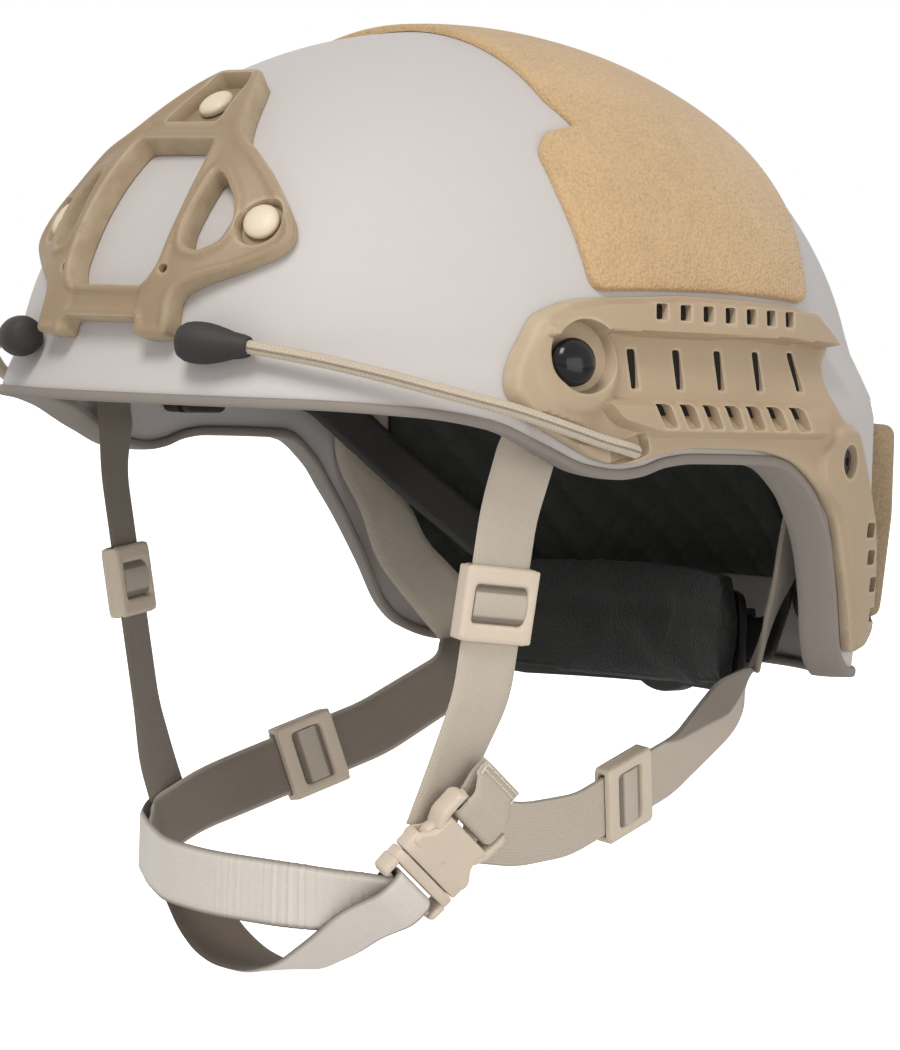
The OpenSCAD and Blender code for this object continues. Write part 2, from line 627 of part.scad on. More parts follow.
module bungee_cap_right() { color([0.28, 0.28, 0.28]) on_head() mirror([1, 0, 0]) cap(); }

// Padding. A pad is crowned, and its edges are drawn in.
function crowned(s, t) = 0.5 + 0.5 * pow(max(0, sin(180 * s) * sin(180 * t)), 0.35);
module wall_pad(a0, a1, z0, z1, thick, ni, nj) {
  function at(i, j, deep) = let (s = i / ni, t = j / nj)
    skin(mix(a0, a1, s), arc_z(mix(z0, z1, t), -wall - deep), -wall - deep);
  slab([for (i = [0:ni]) [for (j = [0:nj]) at(i, j, wall_seat)]],
       [for (i = [0:ni]) [for (j = [0:nj]) at(i, j, wall_seat + thick * crowned(i / ni, j / nj))]]);
}
crown_pad_t = waist_z + crown_h - wall - head_top_z;
crown_pad_half = [44, 52];
module crown_pad() {
  n = 10;
  function at(i, j, deep) =
    let (u = 2 * i / n - 1, v = 2 * j / n - 1,
         x = crown_pad_half[0] * u * sqrt(1 - v * v / 2),
         y = crown_pad_half[1] * v * sqrt(1 - u * u / 2),
         o = -wall - deep, b = o + (y < 0 ? front_len : back_len),
         q = pow(pow(abs(x) / (half_w + o), plan_power) + pow(abs(y) / b, plan_power),
                 2 / plan_power))
    [x, y, waist_z + (crown_h + o) * sqrt(1 - q)];
  function deep(i, j) = crown_pad_t * crowned(clip(i / n), clip(j / n));
  color(dark) on_head() slab([for (i = [0:n]) [for (j = [0:n]) at(i, j, wall_seat)]],
                             [for (i = [0:n]) [for (j = [0:n]) at(i, j, deep(i, j))]]);
}
module brow_pad() { color(dark) on_head() wall_pad(-122, -58, 6, 36, pad_t, 14, 6); }
module rear_pad() { color(dark) on_head() wall_pad(60, 120, 20, 66, pad_t, 14, 7); }
module side_pad() { wall_pad(-16, 34, 26, 76, pad_t, 10, 8); }
module side_pad_left() { color(dark) on_head() side_pad(); }
module side_pad_right() { color(dark) on_head() mirror([1, 0, 0]) side_pad(); }
liner_edge = [[-66, 44], [-30, 38], [14, 36]];
module rear_liner() {
  levels = [-66, -52, -38, -24, -10, 2, 14];
  function at(i, z, off) = let (a0 = lookup(z, liner_edge)) skin(mix(a0, 180 - a0, i / 18), z, off);
  color(dark) on_head() slab(
    [for (i = [0:18]) [for (z = levels) at(i, z, -wall - trim_t - seat)]],
    [for (i = [0:18]) [for (z = levels) at(i, z, -wall - trim_t - seat - liner_t)]]);
}

// Nape cradle, its pad, dial and head band strips. They move forwards as one.
nape_z = -67;
nape_back = back_len - 35;
// Forward bow of the cradle towards its ends
function nape_y(x) = nape_back - 19 * pow(abs(x) / nape_half_w, 2);
function nape_sheet(y0, y1, half, low, high, edge) =
  [for (k = [0:1]) [for (i = [-8:8]) [for (j = [0:5])
     let (x = half * i / 8, t = j / 5, c = edge ? crowned((i + 8) / 16, t) : 1)
     [x, nape_y(x) + (k == 0 ? y1 : y1 - (y1 - y0) * c), nape_z + mix(low, high, t)]]]];
module nape_pad() {
  g = nape_sheet(-nape_t, -seat, nape_half_w, -nape_h / 2, nape_h / 2, true);
  color(dark) on_head() slab(g[0], g[1]);
}
module nape_cradle() {
  g = nape_sheet(0, cradle_t, nape_half_w, -nape_h / 2, nape_h / 2 - 8, false);
  color([0.22, 0.20, 0.18]) on_head() slab(g[0], g[1]);
}
dial_y = nape_back + cradle_t;
housing_t = 8;
knob_t = 9;
module dial_housing() {
  color([0.24, 0.22, 0.20]) on_head() difference() {
    union() {
      translate([0, dial_y + housing_t + seat, nape_z - 4]) rotate([90, 0, 0])
        cylinder(d = dial_d + 4, h = housing_t);
      translate([-34, dial_y + seat, nape_z - 4 - strip_w / 2 - 2.5])
        cube([68, housing_t - 1, strip_w + 5]);
    }
    // Tunnel for the two strips, and the bore for the dial's shaft
    translate([-40, dial_y + seat + 2, nape_z - 4 - strip_w / 2 - slide_gap])
      cube([80, strip_t + 2 * slide_gap, strip_w + 2 * slide_gap]);
    translate([0, dial_y + 30, nape_z - 4]) rotate([90, 0, 0]) cylinder(d = 8.6, h = 60);
  }
}
module dial_knob() {
  color(dark) on_head() translate([0, 0, nape_z - 4]) rotate([-90, 0, 0]) {
    translate([0, 0, dial_y + housing_t + 2 * seat]) difference() {
      cylinder(d = dial_d, h = knob_t);
      for (i = [0:15]) rotate([0, 0, i * 22.5]) translate([dial_d / 2 + 0.8, 0, -1])
        cylinder(d = 3.2, h = knob_t + 2, $fn = 16);
    }
    translate([0, 0, dial_y + 4.8]) cylinder(d = 8, h = housing_t);
  }
}
strip_y = dial_y + seat + 2 + slide_gap + strip_t / 2;
strip_x = half_w - 17;
strip_z = 4;
strip_route = [
  [3, strip_y, nape_z - 4, 0, 0, 1], [43, strip_y, nape_z - 4, 0, 0, 1],
  [64, nape_back - 6, -50, 0, 0.3, 1], [84, 70, -24, 0, 0.35, 1],
  [strip_x, 38, strip_z - 2, 0, 0.1, 1], [strip_x, 22, strip_z, 0, 0, 1],
  [strip_x, -24, strip_z, 0, 0, 1]];
module head_strip_left() {
  color([0.20, 0.20, 0.19]) on_head() band(strip_route, strip_w, strip_t);
}
module head_strip_right() {
  color([0.20, 0.20, 0.19]) on_head() mirror([1, 0, 0])
    band(strip_route, strip_w, strip_t);
}
guide_y = [-20, -2];
module strip_guide() {
  reach_x = side(guide_y[0], strip_z, -wall - wall_seat)[0];
  difference() {
    translate([strip_x - 2.6, guide_y[0], strip_z - strip_w / 2 - 2.5])
      cube([reach_x - strip_x + 2.6, guide_y[1] - guide_y[0], strip_w + 5]);
    translate([strip_x - strip_t / 2 - slide_gap, guide_y[0] - 5,
               strip_z - strip_w / 2 - slide_gap])
      cube([strip_t + 2 * slide_gap, 40, strip_w + 2 * slide_gap]);
  }
}
module strip_guide_left() { color(dark) on_head() strip_guide(); }
module strip_guide_right() { color(dark) on_head() mirror([1, 0, 0]) strip_guide(); }

// Harness. Each strap starts flat on the inner wall under a rail's nut, and has one
// straight run on which its adjuster slides. Its points hold a place and a width direction.
function on_wall(y, z, deep = webbing_deep) = side(y, z, -wall - deep);
front_w = [0.25, 0.97, 0];
front_run = [[89.5, -53, -28], [84, -56, -80]];
front_run_right = [[-90, -48.3, -24], [-82, -39.4, -95]];
front_w_right = [-0.42, 0.91, 0];
front_top_w = [0.3, 0.95, 0];
front_top = [on_wall(-45.5, 22), on_wall(-45.8, -2), on_wall(-47.5, -9, 5.5)];
rear_w = [0.1, 0.3, 1];
rear_run = [[66.5, 43, -105], [72.5, -6, -120.5]];
rear_top = [
  concat(on_wall(61.5, 4), [0.33, -0.94, 0]), concat(on_wall(62.5, -19), [0.33, -0.94, 0]),
  [91.5, 67.5, -33, 0.2, -1, 0], [84, 70, -50, 0.4, -0.8, 0],
  [62, nape_back - 20, -76, 0.713, -0.66, -0.233],
  [60, nape_back - 31, -89, 0.1, -0.61, 0.78]];
function facing(pts, w) = [for (p = pts) concat(p, w)];
function mirrored(pts) = [for (p = pts) [-p[0], p[1], p[2], -p[3], p[4], p[5]]];
front_route_left = concat(
  facing(front_top, front_top_w), facing(front_run, front_w),
  [[78.5, -61, -100, 0, 1, -0.25], [74.5, -66, -119, 0, 1, -0.25]]);
front_route_right = concat(
  mirrored(facing(front_top, front_top_w)), facing(front_run_right, front_w_right),
  [[-79, -36.8, -113, -0.25, 0.97, 0.1], [-76.9, -33.8, -124, -0.25, 0.97, 0.2]]);
rear_route_left = concat(
  rear_top, facing(rear_run, rear_w),
  [[75, -30, -122, 0.1, 0, 1], [76.6, -54, -119, 0.1, 0, 1]]);
rear_route_right = concat(
  mirrored(concat(rear_top, facing(rear_run, rear_w))),
  [[-74.5, -22, -126, 0, 0.1, 1], [-71, -40, -131, 0, 0.1, 1]]);
module strap(route) {
  difference() {
    band(route, strap_w, strap_t);
    bolt_holes(screw_d + 0.4);
  }
}
module front_strap_left() { color(web) on_head() strap(front_route_left); }
module front_strap_right() { color(web) on_head() strap(front_route_right); }
module rear_strap_left() { color(web) on_head() strap(rear_route_left); }
module rear_strap_right() { color(web) on_head() strap(rear_route_right); }

// Adjuster: a frame with a window, and a slot behind it that the webbing runs through
module slider() {
  difference() {
    translate([-slider_w / 2, -slider_t / 2, -slider_len / 2])
      cube([slider_w, slider_t, slider_len]);
    translate([-strap_w / 2 - slide_gap, -strap_t / 2 - slide_gap, -slider_len])
      cube([strap_w + 2 * slide_gap, strap_t + 2 * slide_gap, 2 * slider_len]);
    translate([-slider_w * 0.29, -slider_t, -slider_len * 0.22])
      cube([slider_w * 0.58, 2 * slider_t, slider_len * 0.44]);
  }
}
module slider_on(run, w, at = 0.5) {
  stood(mix(run[0], run[1], at), run[1] - run[0], w) slider();
}
// Share of the right front run at which its adjuster sits
right_slider_at = 0.47;
module front_slider_left() { color(tan) on_head() slider_on(front_run, front_w); }
module front_slider_right() {
  color(tan) on_head() slider_on(front_run_right, front_w_right, right_slider_at);
}
module rear_slider_left() { color(tan) on_head() slider_on(rear_run, rear_w); }
module rear_slider_right() {
  color(tan) on_head() mirror([1, 0, 0]) slider_on(rear_run, rear_w);
}

// Side-release buckle beside the wearer's left jaw. Z runs from the male half's bar
// to the female half's bar.
buckle_low = [72, -78.8, -140.7];
buckle_high = [86.5, -56.8, -112.2];
buckle_dir = unit(buckle_high - buckle_low);
buckle_len = norm(buckle_high - buckle_low);
female_len = 24;
male_body = 9;
module in_buckle() { stood(buckle_low, buckle_dir, [0, -0.8, 0.6]) children(); }
module buckle_female() {
  z0 = buckle_len - female_len;
  color(tan) on_head() in_buckle() difference() {
    translate([-buckle_w / 2, -buckle_t / 2, z0]) cube([buckle_w, buckle_t, female_len]);
    // Mouth for the prongs
    translate([-buckle_w / 2 + 2, -buckle_t / 2 + 1.6, z0 - 1])
      cube([buckle_w - 4, buckle_t - 3.2, 15]);
    // Side openings where the prongs' shoulders latch
    translate([-buckle_w, -buckle_t / 2 + 1.6, z0 + 5.5])
      cube([2 * buckle_w, buckle_t - 3.2, 8.5]);
    // Window to the webbing bar, and the faces that leave the bar thinner
    translate([-loop_w / 2 - slide_gap, -buckle_t, z0 + 16])
      cube([loop_w + 2 * slide_gap, 2 * buckle_t, 4]);
    for (s = [-1, 1])
      translate([-loop_w / 2 - slide_gap, s * (bar_t + buckle_t) / 2 - buckle_t / 2, z0 + 15])
        cube([loop_w + 2 * slide_gap, buckle_t, 20]);
  }
}
// Web loop round the female half's bar, sewn to the two straps behind it
loop_w = 17;
bar_t = 4;
module buckle_loop() {
  z0 = buckle_len - female_len;
  y1 = bar_t / 2 + seat + strap_t / 2 + 0.1;
  y2 = -buckle_t / 2 - 1.3;
  pts = [[y2 + strap_t + seat, z0 + 35], [y2 + strap_t + seat, z0 + 31.5], [y1, z0 + 25.5],
         [y1, z0 + 17.9], [-y1, z0 + 17.9], [-y1, z0 + 24.5], [y2, z0 + 30], [y2, z0 + 35]];
  color(web) on_head() in_buckle()
    band([for (p = pts) [0, p[0], p[1], 1, 0, 0]], loop_w, strap_t, 1.5);
}
module buckle_male() {
  z0 = buckle_len - female_len - seat;
  color(tan) on_head() in_buckle() difference() {
    union() {
      translate([-buckle_w / 2, -buckle_t / 2, z0 - male_body])
        cube([buckle_w, buckle_t, male_body]);
      translate([-1.5, -1.6, z0 - 1]) cube([3, 3.2, 12]);
      for (s = [-1, 1]) translate([s * (buckle_w / 2 - 4.6) - 1.4, -2, z0 - 1])
        cube([2.8, 4, 13]);
      for (s = [-1, 1]) translate([s * (buckle_w / 2 - 4.1) - 1.8, -2, z0 + 6.4])
        cube([3.6, 4, 6]);
    }
    translate([-buckle_w / 2 + 2.5, -buckle_t, z0 - male_body + 2.2])
      cube([buckle_w - 5, 2 * buckle_t, 3.4]);
    for (s = [-1, 1])
      translate([-buckle_w / 2 + 2.5, s * (bar_t + buckle_t) / 2 - buckle_t / 2, z0 - male_body - 1])
        cube([buckle_w - 5, buckle_t, 6]);
  }
}

// Chin straps: from the buckle round the front of the chin to the far side's straps
male_end = buckle_len - female_len - seat - male_body;
bar_y = 3.4;
buckle_across = unit([0, -0.8, 0.6] - buckle_dir * (buckle_dir * [0, -0.8, 0.6]));
function in_buckle_at(y, z) =
  concat(buckle_low + buckle_dir * z + cross(buckle_dir, buckle_across) * y, buckle_across);
chin_front_route = [
  in_buckle_at(bar_y, male_end - 8), in_buckle_at(bar_y, male_end + 3.8),
  in_buckle_at(-bar_y, male_end + 3.8), in_buckle_at(-bar_y, male_end - 4),
  [58.5, -88, -141, 0, 0, 1], [40, -94, -139, 0, 0, 1], [12, -93, -139, 0, 0, 1],
  [-20, -83, -139, 0, 0, 1], [-50, -64, -138, 0, 0, 1], [-77.5, -44, -137, 0, 0, 1],
  [-82.5, -27, -131, -0.1, 0, 1]];
chin_lower_route = [
  [61.8, -76.6, -146.5, -0.2, -0.3, 1],
  [52, -72, -151, 0, 0.3, 1], [34, -76, -158, 0, 0.5, 1], [8, -74, -161, 0, 0.5, 1],
  [-18, -66, -159, 0, 0.4, 1], [-42, -53, -153, 0, 0.2, 1], [-61, -40, -146, 0, 0, 1],
  [-71.6, -29, -139, 0, 0, 1]];
module chin_strap_front() {
  color(web) on_head() band(chin_front_route, strap_w, strap_t, 12);
}
module chin_strap_lower() {
  color(web) on_head() band(chin_lower_route, strap_w * 0.8, strap_t, 12);
}

shell();
edge_trim();
crown_loop_field();
back_panel();
shroud();
shroud_screws();
shroud_nuts();
rail_left();
rail_right();
rail_bolts();
rail_screws();
rail_nuts();
bungee_left();
bungee_right();
bungee_cap_left();
bungee_cap_right();
crown_pad();
brow_pad();
rear_pad();
side_pad_left();
side_pad_right();
rear_liner();
nape_cradle();
nape_pad();
dial_housing();
dial_knob();
head_strip_left();
head_strip_right();
strip_guide_left();
strip_guide_right();
front_strap_left();
front_strap_right();
rear_strap_left();
rear_strap_right();
front_slider_left();
front_slider_right();
rear_slider_left();
rear_slider_right();
buckle_female();
buckle_male();
buckle_loop();
chin_strap_front();
chin_strap_lower();
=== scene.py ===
# %% [markdown]
# # A combat helmet around its CAD frame
# The imported CAD model says where each piece of the helmet sits and which body carries it.
# Its solids are plain, so each visible piece is made again here as a fine surface worked
# out with numpy, and the CAD node that it stands for is hidden. First the frame is loaded.
# The finished helmet has to stay inside it.

# %% Load the frame
from math import radians

import bpy
import numpy as np
from mathutils import Matrix
from mathutils.geometry import delaunay_2d_cdt


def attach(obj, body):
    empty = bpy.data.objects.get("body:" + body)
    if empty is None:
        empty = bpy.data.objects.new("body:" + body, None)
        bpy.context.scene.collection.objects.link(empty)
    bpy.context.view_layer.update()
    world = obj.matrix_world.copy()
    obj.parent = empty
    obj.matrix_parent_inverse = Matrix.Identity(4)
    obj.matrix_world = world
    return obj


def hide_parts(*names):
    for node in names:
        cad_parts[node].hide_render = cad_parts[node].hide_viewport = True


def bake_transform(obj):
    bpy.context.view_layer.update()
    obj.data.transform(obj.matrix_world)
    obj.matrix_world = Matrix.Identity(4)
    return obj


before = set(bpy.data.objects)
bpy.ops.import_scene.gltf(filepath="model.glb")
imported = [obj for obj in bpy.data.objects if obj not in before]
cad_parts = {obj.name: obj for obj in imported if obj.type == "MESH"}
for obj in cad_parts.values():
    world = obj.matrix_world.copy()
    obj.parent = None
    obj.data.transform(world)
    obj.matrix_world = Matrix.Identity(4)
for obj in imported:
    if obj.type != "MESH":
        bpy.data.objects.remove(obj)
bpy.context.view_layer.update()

# %% [markdown]
# ## The camera
# The photograph looks at the helmet from the wearer's front left, level with the brim. The
# camera was fitted to the outline of the shell, so the same numbers bring every piece to
# its place in the picture. Sizes are written in millimetres above the brim's edge, and
# the frame's origin lies 86 mm higher, under the crown pad.

# %% Camera at the photograph's view
HEAD_TOP = 86.0
PHOTO_H = 1050
AZIMUTH, ELEVATION, ROLL = radians(46.03), radians(2.39), radians(1.80)
DISTANCE, FOCAL_PX = 1509.0, 4965.0
TARGET_RIGHT, TARGET_UP = 7.43, -36.0
SENSOR = 36.0


def to_frame(points):
    """Metres in the frame from millimetres above the brim: the height less 86, over 1000."""
    return (np.asarray(points, float) - [0, 0, HEAD_TOP]) / 1000


def to_head(points):
    """Millimetres above the brim from metres in the frame."""
    return points * 1000 + [0, 0, HEAD_TOP]


def unit(v):
    """Vectors of length 1: each divided by its own length."""
    v = np.asarray(v, float)
    return v / np.maximum(np.linalg.norm(v, axis=-1, keepdims=True), 1e-12)


def linked(name, data):
    """New object of the scene that holds the data given."""
    made = bpy.data.objects.new(name, data)
    bpy.context.scene.collection.objects.link(made)
    return made


def set_at(x_axis, y_axis, z_axis, place):
    """World matrix whose columns are three directions and a place."""
    return Matrix(np.stack([x_axis, y_axis, z_axis, place], 1).tolist() + [[0, 0, 0, 1]])


back = np.array([np.sin(AZIMUTH) * np.cos(ELEVATION), -np.cos(AZIMUTH) * np.cos(ELEVATION),
                 np.sin(ELEVATION)])
level = np.array([np.cos(AZIMUTH), np.sin(AZIMUTH), 0.0])
upright = np.cross(back, level)
right = level * np.cos(ROLL) + upright * np.sin(ROLL)
up = upright * np.cos(ROLL) - level * np.sin(ROLL)
target = level * TARGET_RIGHT + np.array([0, 0, TARGET_UP])
eye = to_frame(target + back * DISTANCE)

camera = linked("photo_camera", bpy.data.cameras.new("photo_camera"))
camera.data.sensor_fit = "VERTICAL"
camera.data.sensor_height = SENSOR
camera.data.lens = FOCAL_PX / PHOTO_H * SENSOR
camera.data.clip_start, camera.data.clip_end = 0.05, 30
camera.matrix_world = set_at(right, up, back, eye)
bpy.context.scene.camera = camera
print("lens", round(camera.data.lens, 1), "mm, eye", eye.round(3))

# %% [markdown]
# ## The shell's form as formulas
# Every piece lies on the shell, on its inner wall or hangs from it, so the shell's form
# comes first. Its plan is a superellipse, between an ellipse and a rounded box. The plan
# shrinks along an elliptical arc up to the crown, and flares out at the brim and the nape.
# Each function below takes whole arrays, so one call gives thousands of points.

# %% The dome
HALF_W, FRONT_LEN, BACK_LEN, CROWN, WAIST, WALL = 110.0, 128.0, 138.0, 112.0, 1.0, 8.0
BACK_FLARE, BRIM_FLARE, POWER = 7.0, 4.0, 2.25


def smooth(t):
    """Soft step: 3 t squared less 2 t cubed, with t held between 0 and 1."""
    t = np.clip(t, 0, 1)
    return t * t * (3 - 2 * t)


def power(v, p):
    """Power that keeps the sign of its base."""
    return np.sign(v) * np.abs(v) ** p


def taper(z, off):
    """Share of the plan left at height z: the square root of 1 less the height's share
    of the crown squared, and 1 below the waist."""
    share = np.clip((z - WAIST) / (CROWN + off), 0, 1)
    return np.sqrt(1 - share ** 2)


def flare(y, z):
    """Outward push in millimetres at the back and at the brim, from soft steps in y and z."""
    rear = BACK_FLARE * smooth((y - 20) / 40) * smooth((24 - z) / 24)
    rear = rear * np.where(z < -30, 1 - 0.67 * (-30 - z) / 50, 1)
    return rear + BRIM_FLARE * smooth((-40 - y) / 30) * smooth((18 - z) / 18)


def half_len(y, off):
    """Length of the plan from the middle to the front or, where y is positive, to the back."""
    return off + np.where(y < 0, FRONT_LEN, BACK_LEN)


def plan_point(a, off):
    """Point of the plan at angle a in degrees: a superellipse of power 2.25."""
    c, s = np.cos(np.radians(a)), np.sin(np.radians(a))
    return (HALF_W + off) * power(c, 2 / POWER), half_len(s, off) * power(s, 2 / POWER)


def skin(a, z, off):
    """Point of the skin that lies off millimetres outside the shell, at angle a, height z."""
    a, z, off = np.broadcast_arrays(*(np.asarray(v, float) for v in (a, z, off)))
    x, y = plan_point(a, off)
    t = taper(z, off)
    k = 1 + flare(y * t, z) / np.maximum(np.hypot(x * t, y * t), 1e-6)
    return np.stack([x * t * k, y * t * k, z], -1)


def arc_z(v, off):
    """Height from arc length: straight below the waist, then the sine of the arc's angle."""
    v = np.asarray(v, float)
    return np.where(v <= WAIST, v, WAIST + (CROWN + off) * np.sin((v - WAIST) / CROWN))


def share_angle(share):
    """Plan angle at which the outline reaches a share of its half length."""
    return np.degrees(np.arcsin(np.clip(share, 0, 1) ** (POWER / 2)))


def side_angle(y, z, off):
    """Plan angle at which the side of the shell passes y at height z: the flare is taken
    off in four steps."""
    y, z, off = np.broadcast_arrays(*(np.asarray(v, float) for v in (y, z, off)))
    t, flat = taper(z, off), y
    for _ in range(4):
        a = np.sign(flat) * share_angle(np.abs(flat) / np.maximum(t * half_len(flat, off), 1e-6))
        px, py = plan_point(a, off)
        flat = y / (1 + flare(flat, z) / np.maximum(np.hypot(px * t, py * t), 1e-6))
    return a


def side(y, z, off):
    """Point on the wearer's left at y and z, off millimetres outside the shell."""
    return skin(side_angle(y, z, off), z, off)


def front(x, z, off):
    """Point on the front at x and z, off millimetres outside the shell."""
    x, z, off = np.broadcast_arrays(*(np.asarray(v, float) for v in (x, z, off)))
    t, flat = taper(z, off), np.abs(x)
    for _ in range(4):
        a = share_angle(flat / np.maximum(t * (HALF_W + off), 1e-6)) - 90
        px, py = plan_point(a, off)
        flat = np.abs(x) / (1 + flare(py * t, z) / np.maximum(np.hypot(px * t, py * t), 1e-6))
    p = skin(a, z, off)
    return p * np.stack([np.where(x < 0, -1.0, 1.0), np.ones_like(x), np.ones_like(x)], -1)


def square_front(uv, h):
    """Points h above the front, square to the shell: the skin's point at x and z, plus h
    times the cross product of its two slopes."""
    x, z = uv.T
    across = front(x + 0.5, z, 0.3) - front(x - 0.5, z, 0.3)
    rising = front(x, z + 0.5, 0.3) - front(x, z - 0.5, 0.3)
    return front(x, z, 0.3) + unit(np.cross(across, rising)) * (h - 0.3)[:, None]


def over_crown(y, f, off):
    """Point of the dome on a ray at angle f from the crown in the cross section at y,
    found by halving the span of its length 24 times."""
    y, f, off = np.broadcast_arrays(*(np.asarray(v, float) for v in (y, f, off)))
    s, c = np.sin(np.radians(f)), np.cos(np.radians(f))
    half = half_len(y, off)
    low, high = np.zeros_like(y), np.full_like(y, 140.0)
    for _ in range(24):
        m = (low + high) / 2
        q = (((m * np.abs(s)) / (HALF_W + off)) ** POWER + (np.abs(y) / half) ** POWER)
        outside = q ** (2 / POWER) + (m * c / (CROWN + off)) ** 2 > 1
        low, high = np.where(outside, low, m), np.where(outside, m, high)
    return np.stack([low * s, y, WAIST + low * c], -1)


def normal(a, z):
    """Outward direction of the shell at angle a and height z, from two short steps."""
    round_step = skin(a + 0.5, z, 0) - skin(a - 0.5, z, 0)
    up_step = skin(a, z + 0.5, 0) - skin(a, z - 0.5, 0)
    return unit(np.cross(round_step, up_step))


print("brow", skin(-90, 0, 0).round(1), "crown", over_crown(0, 0, 0).round(1))

# %% [markdown]
# ## From arrays to meshes
# A surface arrives as a grid of points. The helpers below join neighbours into faces, close
# the solid, turn its faces outwards and store it, with the pattern's own coordinates in a
# UV map where a weave follows the piece.

# %% Mesh helpers


def cells(rows, cols, wrap=False, closed=False):
    """Quads between neighbours of a rows by cols grid, as one index array. wrap joins the
    last column to the first, and closed the last row to the first."""
    r = np.arange(rows if closed else rows - 1)[:, None]
    c = np.arange(cols if wrap else cols - 1)[None]
    s, n = (r + 1) % rows, (c + 1) % cols
    return np.stack([r * cols + c, s * cols + c, s * cols + n, r * cols + n], -1).reshape(-1, 4)


def outward(points, faces):
    """Faces turned outwards: all are flipped if the volume they enclose is negative, which
    is the sum of the triple products of each face's triangles."""
    volume = 0.0
    for f in faces:
        a, b, c = (points[f[:, i]] for i in (0, 1, 2))
        volume += (a * np.cross(b, c)).sum()
        if f.shape[1] == 4:
            volume += (a * np.cross(c, points[f[:, 3]])).sum()
    return [f[:, ::-1] for f in faces] if volume < 0 else faces


def new_mesh(name, points, faces):
    """Mesh from points in head millimetres and arrays of faces."""
    mesh = bpy.data.meshes.new(name)
    mesh.from_pydata(to_frame(points), [], [q for f in faces for q in f.tolist()])
    return mesh


def corners_of(mesh):
    """Which point each corner of a mesh's faces uses, face after face."""
    corner = np.empty(len(mesh.loops), np.int32)
    mesh.loops.foreach_get("vertex_index", corner)
    return corner


def piece(name, body, slot, material, points, faces, stands_for=(), uv=None, edge=None,
          lining=None, crease=35):
    """Stores points in head millimetres as a mesh piece, which then rides on a body. A piece
    given two bodies and their points is not attached to either and stays where it is."""
    mesh = new_mesh(name, points, faces)
    mesh.validate()
    mesh.shade_smooth()
    mesh.set_sharp_from_angle(angle=radians(crease))
    if uv is not None:
        at_corners = (uv[corners_of(mesh)] / 1000).astype(np.float32).ravel()
        mesh.uv_layers.new(name="cloth").data.foreach_set("uv", at_corners)
    # The lining mask marks where webbing gets painted shade in a darker colour.
    for mask, values in (("edge", edge), ("lining", lining)):
        if values is not None:
            mesh.attributes.new(mask, "FLOAT", "POINT").data.foreach_set(
                "value", values.astype(np.float32))
    mesh.materials.append(material)
    made = linked(name, mesh)
    if isinstance(body, str):
        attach(made, body)
    else:
        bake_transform(made)
    if stands_for:
        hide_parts(*stands_for)
    return made


def border_of(grid):
    """Closed line along the border of a grid."""
    return np.concatenate([grid[0], grid[1:, -1], grid[-1, -2::-1], grid[-2:0:-1, 0]])


def slab(top, bottom):
    """Closed solid between two grids of the same size, as points and quads."""
    rows, cols = top.shape[:2]
    n = rows * cols
    sheet = cells(rows, cols)
    ring = border_of(np.arange(n).reshape(rows, cols))
    after = np.roll(ring, -1)
    walls = np.stack([ring, after, after + n, ring + n], -1)
    points = np.concatenate([top.reshape(-1, 3), bottom.reshape(-1, 3)])
    return points, outward(points, [sheet, sheet[:, ::-1] + n, walls])


def tube(rings, capped=True):
    """Solid through a row of closed rings; capped ends fan to a middle point."""
    rows, cols = rings.shape[:2]
    points = rings.reshape(-1, 3)
    if not capped:
        return points, outward(points, [cells(rows, cols, wrap=True, closed=True)])
    points = np.concatenate([points, [rings[0].mean(0), rings[-1].mean(0)]])
    j = np.arange(cols)
    k = (j + 1) % cols
    last = (rows - 1) * cols
    first_cap = np.stack([np.full(cols, rows * cols), j, k], -1)
    last_cap = np.stack([np.full(cols, rows * cols + 1), last + k, last + j], -1)
    return points, outward(points, [cells(rows, cols, wrap=True), first_cap, last_cap])


def joined(*solids):
    """Several solids as one set of points and faces."""
    points, faces, base = [], [], 0
    for p, fs in solids:
        points.append(p)
        faces += [f + base for f in fs]
        base += len(p)
    return np.concatenate(points), faces


def mirrored(points, faces, signs=(-1, 1, 1)):
    """Mirror image of a solid: x changes sign unless signs names another axis, and every
    face is turned over."""
    return points * np.array(signs), [f[:, ::-1] for f in faces]


def both_sides(points, faces):
    """A solid of the wearer's left and its mirror image, each with the name of its side."""
    return ("left", (points, faces)), ("right", mirrored(points, faces))


def two_faced(solid):
    """A half solid and its mirror image behind it, where y changes sign."""
    return [solid, mirrored(*solid, (1, -1, 1))]


def stood(origin, along, across):
    """Matrix whose third axis runs along a direction and whose first lies near across."""
    z = unit(along)
    x = unit(np.asarray(across, float) - z * np.dot(across, z))
    return np.stack([x, np.cross(z, x), z], 1), np.asarray(origin, float)


def placed(points, where):
    """Points of a local frame carried to the head: the matrix times the point, plus origin."""
    turn, origin = where
    return points @ turn.T + origin


def circle(count):
    """Angles of points evenly spaced round a full turn."""
    return np.arange(count) * 2 * np.pi / count


def ringed(line, one_way, other_way, radius, count):
    """Circles round the points of a line, each in the plane of its two directions: the
    cosine times one direction plus the sine times the other, times the radius."""
    a = circle(count)[:, None]
    return line[..., None, :] + radius * (one_way[..., None, :] * np.cos(a)
                                          + other_way[..., None, :] * np.sin(a))


def lathe(profile, where, around=40):
    """Solid of revolution: each profile point (radius, height) swept round the third axis."""
    a = circle(around)
    r, h = np.asarray(profile, float).T
    rings = np.stack([r[:, None] * np.cos(a), r[:, None] * np.sin(a),
                      np.broadcast_to(h[:, None], (len(r), around))], -1)
    return tube(placed(rings, where))


print("a cylinder has", len(lathe([(5, 0), (5, 2)], stood([0, 0, 0], [0, 0, 1], [1, 0, 0]))[0]),
      "points")

